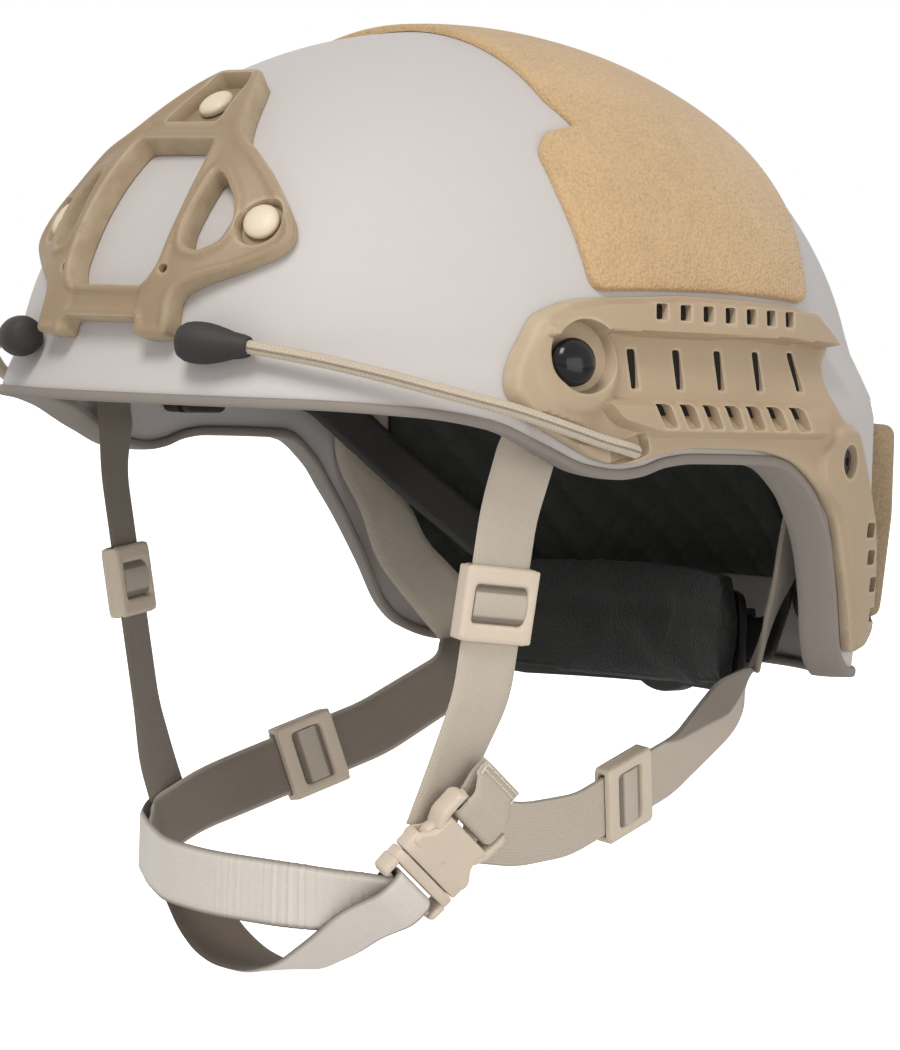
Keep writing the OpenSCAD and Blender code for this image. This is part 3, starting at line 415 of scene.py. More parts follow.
# %% [markdown]
# ## Moulded plates
# Rails, shroud, adjusters and buckle are moulded plates with windows, ridges and pockets.
# One way is to cut them with boolean tools, which leaves hard, thin faces. Here each border
# is a closed line in the plate's own plane. The lines and a field of points between them
# are joined by a constrained Delaunay triangulation, so every edge is clean, and a formula
# of the distance to the nearest edge lifts each point and rounds the edges as a mould does.

# %% Outlines


def curved(a, b, c, steps):
    """Quadratic curves from each a to its c, drawn towards b: (1 - t) squared of a, twice
    t (1 - t) of b and t squared of c."""
    t = np.linspace(0, 1, steps + 1)[None, :, None]
    a, b, c = (q[:, None] for q in (a, b, c))
    return ((1 - t) ** 2 * a + 2 * t * (1 - t) * b + t ** 2 * c).reshape(-1, a.shape[-1])


def softened(outline, cut, steps=4):
    """Outline with rounded corners: each corner gives way to a quadratic curve that starts
    and ends cut millimetres from it, or at 45% of a short side."""
    p = np.asarray(outline, float)
    before, after = np.roll(p, 1, 0) - p, np.roll(p, -1, 0) - p
    reach_a = np.minimum(cut / np.linalg.norm(before, axis=1), 0.45)[:, None]
    reach_b = np.minimum(cut / np.linalg.norm(after, axis=1), 0.45)[:, None]
    return curved(p + before * reach_a, p, p + after * reach_b, steps)


def resampled(loop, step):
    """Closed line again with its sides divided evenly, so no part is longer than a step."""
    p = np.asarray(loop, float)
    sides = np.roll(p, -1, 0) - p
    parts = np.maximum(np.ceil(np.linalg.norm(sides, axis=1) / step), 1).astype(int)
    start = np.repeat(np.arange(len(p)), parts)
    t = (np.arange(parts.sum()) - np.repeat(np.cumsum(parts) - parts, parts)) / parts[start]
    return p[start] + sides[start] * t[:, None]


def inset(loop, by):
    """Closed line moved inwards, square to the line through each point's neighbours."""
    ahead = unit(np.roll(loop, -1, 0) - np.roll(loop, 1, 0))
    after = np.roll(loop, -1, 0)
    area = (loop[:, 0] * after[:, 1] - loop[:, 1] * after[:, 0]).sum()
    return loop + np.stack([-ahead[:, 1], ahead[:, 0]], -1) * by * np.sign(area)


def inside_by(points, outline, reach=1e9):
    """Distance into an outline, negative outside it, and no less than minus reach. The
    sign comes from counting the edges that a level ray crosses."""
    depth = np.full(len(points), -float(reach))
    close = ((points > outline.min(0) - reach) & (points < outline.max(0) + reach)).all(1)
    q = points[close]
    least, odd = np.full(len(q), 1e9), np.zeros(len(q), bool)
    for a, b in zip(outline, np.roll(outline, -1, 0)):
        d = b - a
        t = np.clip((q - a) @ d / max(d @ d, 1e-9), 0, 1)
        least = np.minimum(least, np.hypot(*(q - a - t[:, None] * d).T))
        spans = (a[1] > q[:, 1]) != (b[1] > q[:, 1])
        rise = d[1] if abs(d[1]) > 1e-9 else 1e-9
        odd ^= spans & (q[:, 0] < a[0] + (q[:, 1] - a[1]) * d[0] / rise)
    depth[close] = np.maximum(np.where(odd, least, -least), -reach)
    return depth


def box_line(middle, size, turn=0.0, lean=0.0, corner=0.8):
    """Outline of a rectangle with rounded corners, turned by degrees and leaning."""
    x, y = np.array([(-1, -1), (1, -1), (1, 1), (-1, 1)]).T * np.array(size)[:, None] / 2
    c, s = np.cos(radians(turn)), np.sin(radians(turn))
    x = x + lean * y
    return softened(np.stack([c * x - s * y, s * x + c * y], -1) + middle, corner)


def ring_line(middle, radius, around=36):
    """Outline of a circle."""
    a = circle(around)
    return np.stack([np.cos(a), np.sin(a)], -1) * radius + middle


def ramp(d, width):
    """Soft step from 0 to 1 across an edge, where d passes 0."""
    return smooth(d / width + 0.5)


def rounding(depth, r):
    """Fall of a surface towards its edge: a quarter circle of radius r."""
    return r - np.sqrt(np.maximum(r * r - (r - np.minimum(depth, r)) ** 2, 0))


def flat_at(height):
    """Formula of a level face, for the top or the bottom of a plate."""
    return lambda uv, depth: np.full(len(uv), height)


# %% Plate helper


def triangulated(loops, points):
    """Points and triangles of the plane that keep every part of the closed lines."""
    sizes = [len(loop) for loop in loops]
    starts = np.cumsum([0] + sizes[:-1])
    sides = np.concatenate([start + np.stack([np.arange(n), (np.arange(n) + 1) % n], -1)
                            for start, n in zip(starts, sizes)])
    given = np.concatenate([*loops, points])
    found, _, triangles, _, _, _ = delaunay_2d_cdt(given.tolist(), sides.tolist(), [], 0, 1e-5)
    return np.array([tuple(p) for p in found]), np.array(triangles)


def plate(outline, holes, step, top, bottom, place, cuts=(), lines=(), rings=(0.35, 0.9, 1.7)):
    """Moulded plate. top and bottom give heights from the points and their distance to the
    nearest edge. A cut is an outline, the width of its wall and the height of its floor,
    or a formula for it. lines are further borders for the mesh to follow, and rings are
    distances from the edges with points of their own. Returns points, faces and a mask
    that is 1 along edges and lips and fades in one millimetre."""
    edges = [resampled(loop, step) for loop in (outline, *holes)]

    def depth_of(points):
        depth = inside_by(points, edges[0])
        for hole in edges[1:]:
            depth = np.minimum(depth, -inside_by(points, hole, 60.0))
        return depth

    borders = []
    for loop, wall, _ in cuts:
        lip = resampled(loop, step)
        borders += [inset(lip, -0.3), lip, inset(lip, wall)]
    borders += [resampled(loop, step) for loop in lines]
    low, high = outline.min(0), outline.max(0)
    u, v = np.arange(low[0], high[0], step), np.arange(low[1], high[1], step * 0.87)
    grid = np.stack(np.meshgrid(u, v, indexing="ij"), -1)
    grid[:, ::2, 0] += step / 2
    free = [(grid.reshape(-1, 2), 0.6 * step)]
    free += [(inset(edge, r if edge is edges[0] else -r), r - 0.08)
             for r in rings for edge in edges]
    points = np.concatenate([p[depth_of(p) > least] for p, least in free])
    for border in borders:
        points = points[np.abs(inside_by(points, border, 2.0)) > 0.45 * step]
    grid, triangles = triangulated(edges + borders, points)
    triangles = triangles[depth_of(grid[triangles].mean(1)) > 0]
    used = np.unique(triangles)
    place_of = np.zeros(len(grid), int)
    place_of[used] = np.arange(len(used))
    triangles, grid = place_of[triangles], grid[used]
    depth = np.maximum(depth_of(grid), 0)
    height, mask = top(grid, depth), np.clip(1 - depth, 0, 1)
    for loop, wall, floor in cuts:
        d = inside_by(grid, resampled(loop, step), 2.0)
        down = np.maximum(height - (floor(grid) if callable(floor) else floor), 0)
        worn_lip = 0.12 * np.minimum(down, 1) * np.clip(1 + d / 0.3, 0, 1)
        height = height - np.maximum(down * np.clip(d / wall, 0, 1), worn_lip)
        mask = np.maximum(mask, np.exp(-(d / 0.5) ** 2))
    n = len(grid)
    a, b = triangles.ravel(), np.roll(triangles, -1, 1).ravel()
    open_edge = ~np.isin(a * n + b, b * n + a)
    a, b = a[open_edge], b[open_edge]
    points = np.concatenate([place(grid, height), place(grid, bottom(grid, depth))])
    faces = [triangles, triangles[:, ::-1] + n, np.stack([b, a, a + n, b + n], -1)]
    return points, outward(points, faces), np.tile(mask, 2)


print("a rounded square has", len(softened([(0, 0), (9, 0), (9, 9), (0, 9)], 2)), "corners")

# %% [markdown]
# ## Finishes as node groups
# Moulded plastic, paint, rubber and cloth share a few effects: a faint unevenness of
# colour, a fine grain that catches the light, paler rubbed edges, and a weave or a pile
# whose low places are darkened with painted shade.
# Each effect is one node group with its own inputs, built once and used with other values
# in each material. The shader itself stays in the material.

# %% Node helpers and shared effects


def srgb(red, green, blue):
    """Linear colour from 0 to 255 screen values, by the sRGB curve."""
    v = np.array([red, green, blue]) / 255
    v = np.where(v <= 0.04045, v / 12.92, ((v + 0.055) / 1.055) ** 2.4)
    return (*v.tolist(), 1.0)


def node(tree, kind, values=None, **settings):
    """Adds a node. A value that is a socket is linked, and any other is set."""
    made = tree.nodes.new(kind)
    for key, value in settings.items():
        setattr(made, key, value)
    for key, value in (values or {}).items():
        if isinstance(value, bpy.types.NodeSocket):
            tree.links.new(value, made.inputs[key])
        else:
            made.inputs[key].default_value = value
    return made


def math(tree, operation, a, b=0.0, c=0.0):
    """One step of arithmetic on sockets or numbers."""
    return node(tree, "ShaderNodeMath", {0: a, 1: b, 2: c}, operation=operation).outputs[0]


def noise_of(tree, vector, scale, detail, roughness=0.5):
    """Value of a noise texture."""
    return node(tree, "ShaderNodeTexNoise", {"Vector": vector, "Scale": scale, "Detail": detail,
                                             "Roughness": roughness}).outputs["Fac"]


def bump_of(tree, height, depth):
    """Normal bumped by a height."""
    return node(tree, "ShaderNodeBump", {"Height": height, "Distance": depth}).outputs["Normal"]


def group(name, inputs, outputs):
    """Empty node group with named sockets: the tree, what it is given and what it gives."""
    tree = bpy.data.node_groups.new(name, "ShaderNodeTree")
    for socket, kind, value in inputs:
        made = tree.interface.new_socket(socket, in_out="INPUT", socket_type=kind)
        if value is not None:
            made.default_value = value
    for socket, kind in outputs:
        tree.interface.new_socket(socket, in_out="OUTPUT", socket_type=kind)
    return (tree, tree.nodes.new("NodeGroupInput").outputs,
            tree.nodes.new("NodeGroupOutput").inputs)


FLOAT, VECTOR, COLOR = "NodeSocketFloat", "NodeSocketVector", "NodeSocketColor"


def mottle_group():
    """Uneven colour: two sizes of noise move the colour a little lighter and darker."""
    tree, given, out = group("mottle", [("Vector", VECTOR, None), ("Color", COLOR, None),
                                        ("Scale", FLOAT, 40.0), ("Amount", FLOAT, 0.1)],
                             [("Color", COLOR)])
    broad = noise_of(tree, given["Vector"], given["Scale"], 4.0, 0.6)
    fine = noise_of(tree, given["Vector"], math(tree, "MULTIPLY", given["Scale"], 9.0), 2.0)
    both = math(tree, "MULTIPLY_ADD", fine, 0.5, broad)
    lift = math(tree, "MULTIPLY", math(tree, "SUBTRACT", both, 0.75), given["Amount"])
    shade = node(tree, "ShaderNodeHueSaturation", {"Color": given["Color"],
                                                   "Value": math(tree, "ADD", lift, 1.0)})
    tree.links.new(shade.outputs["Color"], out["Color"])
    return tree


def wear_group():
    """Rubbed edges: the mesh's edge mask, broken by noise, mixes in the worn colour."""
    tree, given, out = group("edge wear", [("Vector", VECTOR, None), ("Color", COLOR, None),
                                           ("Worn", COLOR, None), ("Amount", FLOAT, 0.3)],
                             [("Color", COLOR)])
    mask = node(tree, "ShaderNodeAttribute", attribute_name="edge").outputs["Fac"]
    rough = math(tree, "MULTIPLY", noise_of(tree, given["Vector"], 160.0, 3.0), 1.6)
    share = math(tree, "MULTIPLY", math(tree, "MULTIPLY", mask, rough), given["Amount"])
    mix = node(tree, "ShaderNodeMix", {"Factor": share, 6: given["Color"], 7: given["Worn"]},
               data_type="RGBA")
    tree.links.new(mix.outputs[2], out["Color"])
    return tree


def grain_group():
    """Fine moulded or sprayed grain, as a bumped normal."""
    tree, given, out = group("grain", [("Vector", VECTOR, None), ("Scale", FLOAT, 900.0),
                                       ("Depth", FLOAT, 0.0001)], [("Normal", VECTOR)])
    height = noise_of(tree, given["Vector"], given["Scale"], 3.0, 0.55)
    tree.links.new(bump_of(tree, height, given["Depth"]), out["Normal"])
    return tree


def weave_group():
    """Webbing: ribs across the strap cut by yarns along it, each yarn half a rib further on.
    Gives the normal from that height, and a painted shade that darkens the colour between the
    yarns."""
    tree, given, out = group("weave", [("Vector", VECTOR, None), ("Yarn", FLOAT, 0.9),
                                       ("Rib", FLOAT, 0.8), ("Depth", FLOAT, 0.0002)],
                             [("Normal", VECTOR), ("Tint", FLOAT)])
    mm = node(tree, "ShaderNodeVectorMath", {0: given["Vector"], 1: (1000.0,) * 3},
              operation="MULTIPLY").outputs[0]
    xyz = node(tree, "ShaderNodeSeparateXYZ", {0: mm}).outputs

    def ridges(value):
        return math(tree, "ABSOLUTE", math(tree, "SINE", math(tree, "MULTIPLY", value, np.pi)))

    yarn = math(tree, "DIVIDE", xyz["X"], given["Yarn"])
    rib = math(tree, "DIVIDE", xyz["Y"], given["Rib"])
    step = math(tree, "MULTIPLY", math(tree, "FLOOR", yarn), 0.5)
    height = math(tree, "MULTIPLY", ridges(yarn), ridges(math(tree, "ADD", rib, step)))
    rough = math(tree, "MULTIPLY_ADD", noise_of(tree, mm, 2.2, 3.0), 0.4, height)
    tree.links.new(bump_of(tree, rough, given["Depth"]), out["Normal"])
    tree.links.new(math(tree, "MULTIPLY_ADD", rough, 0.16, 0.88), out["Tint"])
    return tree


def pile_group():
    """Loop pile: small cells with a raised middle, and patches brushed flat. Gives the normal,
    and a painted shade that darkens the colour where the pile is low.
    """
    tree, given, out = group("pile", [("Vector", VECTOR, None), ("Scale", FLOAT, 900.0),
                                      ("Depth", FLOAT, 0.0004)],
                             [("Normal", VECTOR), ("Tint", FLOAT)])
    loops = node(tree, "ShaderNodeTexVoronoi", {"Vector": given["Vector"],
                                                "Scale": given["Scale"]}).outputs["Distance"]
    brushed = noise_of(tree, given["Vector"], 55.0, 5.0, 0.65)
    height = math(tree, "MULTIPLY_ADD", brushed, 0.8, math(tree, "SUBTRACT", 1.0, loops))
    tree.links.new(bump_of(tree, height, given["Depth"]), out["Normal"])
    tree.links.new(math(tree, "MULTIPLY_ADD", height, 0.28, 0.66), out["Tint"])
    return tree


GROUPS = {"mottle": mottle_group(), "wear": wear_group(), "grain": grain_group(),
          "weave": weave_group(), "pile": pile_group()}


def use(tree, name, values):
    """Places a shared effect in a material with its own values."""
    return node(tree, "ShaderNodeGroup", values, node_tree=GROUPS[name])


def finish(name, color, roughness, uneven=(40.0, 0.12), grain=(900.0, 0.00012), worn=None,
           cloth=None, lining=None, sheen=0.0, specular=0.5):
    """Material: uneven colour, rubbed edges, painted shade in a darker colour where the lining
    mask is set, then the grain or the cloth's own relief, which also darkens the low places
    of a weave or a pile with painted shade."""
    made = bpy.data.materials.new(name)
    made.use_nodes = True
    tree = made.node_tree
    shader = tree.nodes["Principled BSDF"]
    place = node(tree, "ShaderNodeTexCoord")
    spot = place.outputs["Object"]
    base = use(tree, "mottle", {"Vector": spot, "Color": color, "Scale": uneven[0],
                                "Amount": uneven[1]}).outputs["Color"]
    if worn:
        base = use(tree, "wear", {"Vector": spot, "Color": base, "Worn": worn[0],
                                  "Amount": worn[1]}).outputs["Color"]
    # Painted shade: where the lining mask is set, the colour turns to the darker lining colour.
    if lining:
        mask = node(tree, "ShaderNodeAttribute", attribute_name="lining").outputs["Fac"]
        sides = node(tree, "ShaderNodeMix", {"Factor": mask, 6: base, 7: lining},
                     data_type="RGBA")
        base = sides.outputs[2]
    if cloth:
        kind, values = cloth
        where = place.outputs["UV"] if kind == "weave" else spot
        relief = use(tree, kind, {"Vector": where, **values})
        # The relief's shade output darkens the colour in the low places of the weave and the
        # pile: painted shade.
        base = node(tree, "ShaderNodeHueSaturation", {"Color": base,
                    "Value": relief.outputs["Tint"]}).outputs["Color"]
    else:
        relief = use(tree, "grain", {"Vector": spot, "Scale": grain[0], "Depth": grain[1]})
    tree.links.new(base, shader.inputs["Base Color"])
    tree.links.new(relief.outputs["Normal"], shader.inputs["Normal"])
    for key, value in (("Roughness", roughness), ("Sheen Weight", sheen),
                       ("Specular IOR Level", specular)):
        shader.inputs[key].default_value = value
    return made


print("effects:", ", ".join(GROUPS))

# %% [markdown]
# The colours are those of the helmet in plain light: a warm light grey shell, tan plastic
# for rails, shroud and buckles, ochre loop fabric, grey-beige webbing and near-black padding.
# The shroud and the back panel are darker, with painted shade, the chin webbing is lighter,
# with painted light, and the webbing's lining colour is painted shade.

# %% The helmet's finishes
SHELL_PAINT = finish("shell_paint", srgb(191, 185, 181), 0.62, (18.0, 0.05), (1500.0, 0.00006))
TRIM_RUBBER = finish("trim_rubber", srgb(131, 122, 114), 0.7, (60.0, 0.08))
LOOP_FABRIC = finish("loop_fabric", srgb(201, 167, 122), 0.95, (25.0, 0.18),
                     cloth=("pile", {"Scale": 950.0, "Depth": 0.0004}), sheen=0.25)
# The back panel's loop fabric is darker than the crown's: the shade on the panel's side is
# painted into its colour.
SHADED_PANEL_FABRIC = finish("panel_fabric", srgb(158, 136, 106), 0.95, (30.0, 0.15),
                      cloth=("pile", {"Scale": 900.0, "Depth": 0.0004}), sheen=0.2)
RAIL_PLASTIC = finish("rail_plastic", srgb(170, 148, 120), 0.52, (30.0, 0.10),
                      (1100.0, 0.00010), (srgb(214, 198, 172), 0.35))
# The shroud's tan is darker than the rails': the shade that lies on the shroud is painted into
# its colour.
SHADED_SHROUD_PLASTIC = finish("shroud_plastic", srgb(146, 124, 96), 0.5, (30.0, 0.12),
                        (1100.0, 0.00010), (srgb(205, 186, 156), 0.4))
BUCKLE_PLASTIC = finish("buckle_plastic", srgb(207, 191, 171), 0.5, (40.0, 0.08),
                        (1200.0, 0.00008), (srgb(226, 214, 196), 0.35))
PALE_SCREW = finish("pale_screw", srgb(214, 198, 172), 0.45, (60.0, 0.1), (800.0, 0.00008))
BLACK_BOLT = finish("black_bolt", srgb(12, 11, 11), 0.16, (60.0, 0.1), (500.0, 0.00002),
                    specular=0.3)
# Near-black for the painted shade in the rail's slots and notches.
GAP_SHADE_BLACK = finish("gap_shade_black", srgb(30, 26, 22), 0.8, (40.0, 0.2), specular=0.2)
STEEL = finish("nut_steel", srgb(120, 118, 114), 0.4, (80.0, 0.1))
CAP_RUBBER = finish("cap_rubber", srgb(38, 35, 33), 0.66, (60.0, 0.15), (1000.0, 0.00015))
BUNGEE_BRAID = finish("bungee_cord", srgb(192, 177, 156), 0.85, (60.0, 0.12),
                      cloth=("weave", {"Yarn": 1.05, "Rib": 1.3, "Depth": 0.0002}), sheen=0.1)
# The webbing's lining colour is painted shade for its side turned to the head.
WEBBING = finish("webbing", srgb(188, 176, 160), 0.9, (35.0, 0.12),
                 cloth=("weave", {"Yarn": 0.9, "Rib": 0.8, "Depth": 0.00007}),
                 lining=srgb(130, 119, 107), sheen=0.15)
# The chin webbing is a lighter copy of the webbing: painted light for the chin straps, which hang
# in full light under the brim. Its finer weave is its own, and its lining colour is painted
# shade.
LIT_CHIN_WEBBING = finish("chin_webbing", srgb(216, 207, 196), 0.85, (35.0, 0.10),
                      cloth=("weave", {"Yarn": 0.62, "Rib": 0.62, "Depth": 0.00005}),
                      lining=srgb(104, 90, 76), sheen=0.15)
THREAD = finish("thread", srgb(214, 206, 194), 0.9, (90.0, 0.2), (900.0, 0.0001))
PAD_FABRIC = finish("pad_foam", srgb(42, 43, 41), 0.95, (40.0, 0.2),
                    cloth=("pile", {"Scale": 1100.0, "Depth": 0.0003}), sheen=0.1)
LINER_FABRIC = finish("liner_fabric", srgb(56, 58, 54), 0.95, (30.0, 0.2),
                      cloth=("pile", {"Scale": 1200.0, "Depth": 0.0002}), sheen=0.05)
DARK_PLASTIC = finish("dark_plastic", srgb(44, 42, 40), 0.55, (50.0, 0.15),
                      (1000.0, 0.0001), (srgb(84, 80, 76), 0.3))
for nut in ("shroud_nuts", "rail_nuts"):
    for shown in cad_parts[nut].material_slots:
        shown.material = STEEL
print("finishes:", len(bpy.data.materials))

# %% [markdown]
# ## The shell and its rubber trim
# The real shell is pressed in one piece, cut high over the ears and long at the nape. Its
# rim is a table of angles and heights, and a smooth curve through the table gives the cut
# edge. Columns of points rise from the rim, and rows fan out over the ear before they rise
# straight to the crown. The trim is a rubber channel, a small closed profile carried along
# the same rim.

# %% Rim curve
RIM = np.array([
    [-90, -256, 0], [-62, -114, 0], [-42, -89, -1.3], [-32, -72, -4], [-22.5, -53, -11.3],
    [-16, -39.5, -16.3], [-11, -28.4, -17.6], [-8, -20.7, -16.7], [-3.5, -11, -14],
    [0, 0, -13], [10.5, 31, -13.4], [14, 38, -14.5], [16.5, 42, -16.5], [19, 46, -19.5],
    [22, 50.5, -23.5], [25.5, 55, -29.5], [29.5, 60, -37], [35, 68.5, -54], [40, 74.5, -68],
    [44, 80.5, -74.5], [50, 92, -78.5], [66, 123, -80], [90, 276, -80]])
RIM_ANGLE = side_angle(RIM[:, 1], RIM[:, 2], 0)
TRIM_T, TRIM_LIP, FAN_TOP, ARC_TOP = 1.5, 3.0, 26.0, WAIST + CROWN * np.pi / 2


def through(x, xs, ys):
    """Smooth curve through a table: cubic pieces whose slope at each entry is the harmonic
    mean of the slopes beside it, or level where those turn."""
    step = np.diff(ys) / np.diff(xs)
    a, b = step[:-1], step[1:]
    inner = np.where(a * b > 0, 2 * a * b / np.where(a + b == 0, 1, a + b), 0)
    slope = np.concatenate([[step[0]], inner, [step[-1]]])
    i = np.clip(np.searchsorted(xs, x) - 1, 0, len(xs) - 2)
    w = xs[i + 1] - xs[i]
    t = np.clip((x - xs[i]) / w, 0, 1)
    return ((2 * t ** 3 - 3 * t ** 2 + 1) * ys[i] + (t ** 3 - 2 * t ** 2 + t) * w * slope[i]
            + (3 * t ** 2 - 2 * t ** 3) * ys[i + 1] + (t ** 3 - t ** 2) * w * slope[i + 1])


def rim_up(column, rise, off):
    """Point a given way up from the rim along a column: the angle drifts from the rim's to
    the column's, and the height follows the arc."""
    column, rise = np.broadcast_arrays(np.asarray(column, float), np.asarray(rise, float))
    folded = np.where(column > 90, 180 - column, column)
    base = through(folded, RIM[:, 0], RIM[:, 2])
    t = np.clip(rise / (FAN_TOP - base), 0, 1)
    a = through(folded, RIM[:, 0], RIM_ANGLE) * (1 - t) + folded * t
    return skin(np.where(column > 90, 180 - a, a), arc_z(base + rise, off), off)


half_columns = np.concatenate([np.arange(-90, -30, 1.5), np.arange(-30, 45, 0.6),
                               np.arange(45, 90, 1.5)])
columns = np.concatenate([half_columns, 180 - half_columns[::-1]])
columns = columns[np.concatenate([[True], np.diff(columns) > 1e-6])]
columns = columns[columns < 269.9]
print("columns", len(columns))

# %% Shell and trim


def shell_side(off, rows_low=16, rows_high=40):
    """One face of the shell: rows from the rim's trim to the crown."""
    folded = np.where(columns > 90, 180 - columns, columns)
    base = through(folded, RIM[:, 0], RIM[:, 2])
    low = [rim_up(columns, TRIM_T + (FAN_TOP - base - TRIM_T) * j / rows_low, off)
           for j in range(rows_low + 1)]
    rise = FAN_TOP + (ARC_TOP - FAN_TOP) * np.linspace(0, 1, rows_high)[1:]
    high = [skin(columns, arc_z(v, off), off) for v in rise[:-1]]
    return np.stack(low + high), np.array([[0, 0, WAIST + CROWN + off]])


outer, outer_top = shell_side(0.0)
inner, inner_top = shell_side(-WALL)
rows, cols = outer.shape[:2]
n_side = rows * cols
points = np.concatenate([outer.reshape(-1, 3), outer_top, inner.reshape(-1, 3), inner_top])
ring = np.arange(cols)
last = (rows - 1) * cols
over = np.stack([last + ring, np.full(cols, n_side), last + (ring + 1) % cols], -1)
sheet = cells(rows, cols, wrap=True)
lip = np.stack([ring, ring + n_side + 1, (ring + 1) % cols + n_side + 1, (ring + 1) % cols], -1)
faces = [sheet, sheet[:, ::-1] + n_side + 1, over[:, ::-1], over + n_side + 1, lip[:, ::-1]]
shell = piece("shell_skin", "helmet", "shell_paint", SHELL_PAINT, points,
              outward(points, faces), ["shell"], crease=50)

inside_face = -WALL - 0.8
profile = [(0.0, TRIM_T - 0.6), (0.25, TRIM_T - 0.2), (0.8, TRIM_T), (1.8, TRIM_T),
           (TRIM_LIP - 0.4, TRIM_T * 0.85), (TRIM_LIP, 0.9), (TRIM_LIP, 0.25),
           (TRIM_T - 0.2, 0.25), (TRIM_T - 0.2, inside_face), (TRIM_LIP, inside_face),
           (TRIM_LIP, inside_face - 0.7), (TRIM_LIP - 0.4, inside_face - TRIM_T * 0.85),
           (0.8, inside_face - TRIM_T * 0.8), (0.2, inside_face - 0.7), (0.0, inside_face + 1.5),
           (-0.1, inside_face / 2)]
rings = np.stack([rim_up(columns, max(rise, 0), off) + [0, 0, min(rise, 0)]
                  for rise, off in profile], 1)
points, faces = tube(rings, capped=False)
piece("rim_trim", "helmet", "trim_rubber", TRIM_RUBBER, points, faces, ["edge_trim"], crease=60)
print("shell", len(shell.data.polygons), "faces")

# %% [markdown]
# ## Loop fabric on the crown
# A field of loop fabric saddles the crown, with a notched front edge. It is glued down, so
# it follows the dome, and its cut edges are soft. The plate helper makes it, on the angle
# from the crown and the place along it.

# %% Crown field
FIELD_FRONT = [(0, -15), (26, -18), (36, -20), (42.5, -16.5), (43.5, -30), (47, -36),
               (55, -36.6), (70, -35.5), (71.3, -33)]
FIELD_BACK = [(0, 74), (38, 73), (53, 70.4), (61, 66), (70, 60), (71.3, 57)]
FIELD_T, SKIN_SEAT, PER_DEGREE = 1.6, 0.8, 1.95
field_outline = softened(np.array(
    FIELD_FRONT[1:] + FIELD_BACK[::-1]
    + [(-f, y) for f, y in FIELD_BACK[1:] + FIELD_FRONT[::-1]]) * [PER_DEGREE, 1], 3.0)


def on_crown(uv, h):
    """Field coordinates to the dome: millimetres round the crown give the angle."""
    return over_crown(uv[:, 1], uv[:, 0] / PER_DEGREE, h)


def field_face(uv, depth):
    """Thickness of the fabric less its soft edge, with a faint unevenness."""
    return (SKIN_SEAT + FIELD_T - rounding(depth, 1.3) * 0.8
            + 0.05 * np.sin(uv[:, 0] / 7) * np.sin(uv[:, 1] / 9))


points, faces, edge = plate(field_outline, [], 2.2, field_face, flat_at(0.2), on_crown)
field = piece("crown_field", "helmet", "loop_fabric", LOOP_FABRIC, points, faces,
              ["crown_loop_field"], edge=edge)
print("field", len(points), "points")

# %% [markdown]
# ## Raised panel round the back
# The back of the real shell carries a thick panel with a loop-fabric face. It is a plate
# on the shell's own angle and height, with a broad rounded edge and a shallow groove where
# the fabric face ends.

# %% Back panel
PANEL_T, PANEL_HALF, PANEL_TOP, PANEL_BOTTOM, SEAT = 7.5, 36.0, -2.0, -62.0, 0.3
PANEL_PER_DEGREE = 2.3
panel_w = PANEL_HALF * PANEL_PER_DEGREE
panel_outline = softened([(-panel_w, PANEL_BOTTOM), (panel_w, PANEL_BOTTOM),
                          (panel_w, PANEL_TOP), (-panel_w, PANEL_TOP)], 6.0)


def panel_face(uv, depth):
    """Full thickness less the rounded edge, and a groove five millimetres in."""
    groove = 0.5 * np.exp(-((depth - 5.0) / 0.7) ** 2)
    return SEAT + PANEL_T - rounding(depth, 2.4) - groove


points, faces, edge = plate(
    panel_outline, [], 1.8, panel_face, flat_at(0.1),
    lambda uv, h: skin(90 + uv[:, 0] / PANEL_PER_DEGREE, uv[:, 1], h))
piece("rear_panel", "helmet", "panel_fabric", SHADED_PANEL_FABRIC, points, faces, ["back_panel"],
      edge=edge)

# %% [markdown]
# ## Front shroud
# The shroud is one moulding screwed to the brow, with a window between two struts, side
# windows, pockets for three screws and two feet on the brim. Its outline and windows are
# drawn in the front view, and the heights come from one formula: a thick middle that
# thins to the sides, round edges, and pockets let down into it.

# %% Shroud
SHROUD_T, SIDE_SHARE, SIDE_SEAT, TOP_SEAT, WINDOW_HALF = 7.0, 0.62, 2.0, 3.2, 15.5
SCREW_SIDE, SCREW_TOP, HEAD_D = (42.4, 50.8), (0.0, 83.5), 11.0
shroud_half = [(0, 92.3), (8, 91.8), (12.5, 87.5), (17.5, 81), (22, 75), (25, 72.2), (31, 69.2),
               (38.9, 63.8), (45.6, 57.6), (51, 51.5), (53, 47.2), (52.4, 44), (50, 41.6),
               (42, 37.4), (33, 34), (27, 31), (26, 28), (27.2, 18), (16, 17.6), (15.5, 22.7),
               (0, 22.7)]
shroud_outline = softened(shroud_half[1:-1] + [(-x, z) for x, z in shroud_half[-2:0:-1]], 2.0)
window_half = [(WINDOW_HALF, 31.8), (18.4, 37), (18.8, 52), (18, 63), (WINDOW_HALF + 0.5, 71.5)]
window = softened(window_half + [(-x, z) for x, z in window_half[::-1]], 2.2)
side_window = np.array([(23.4, 62.8), (27.5, 61.2), (33, 55.8), (35.6, 50), (34.5, 44.5),
                        (29.5, 41.2), (24.4, 42.4), (22.8, 48)])
side_windows = [softened(side_window, 1.6), softened(side_window * [-1, 1], 1.6)]
top_pocket = softened([(-11.4, 76.6), (11.4, 76.6), (7.4, 90.3), (-7.4, 90.3)], 1.8)
strut_foot = [ring_line((sign * 21.0, 36.0), 1.2, 12) for sign in (1, -1)]
side_seat = softened([(48.4, 46), (48.6, 51.5), (46, 56), (41, 57), (36.9, 53.6),
                      (36.6, 48.5), (39, 44.8), (44, 43.4)], 2.5)


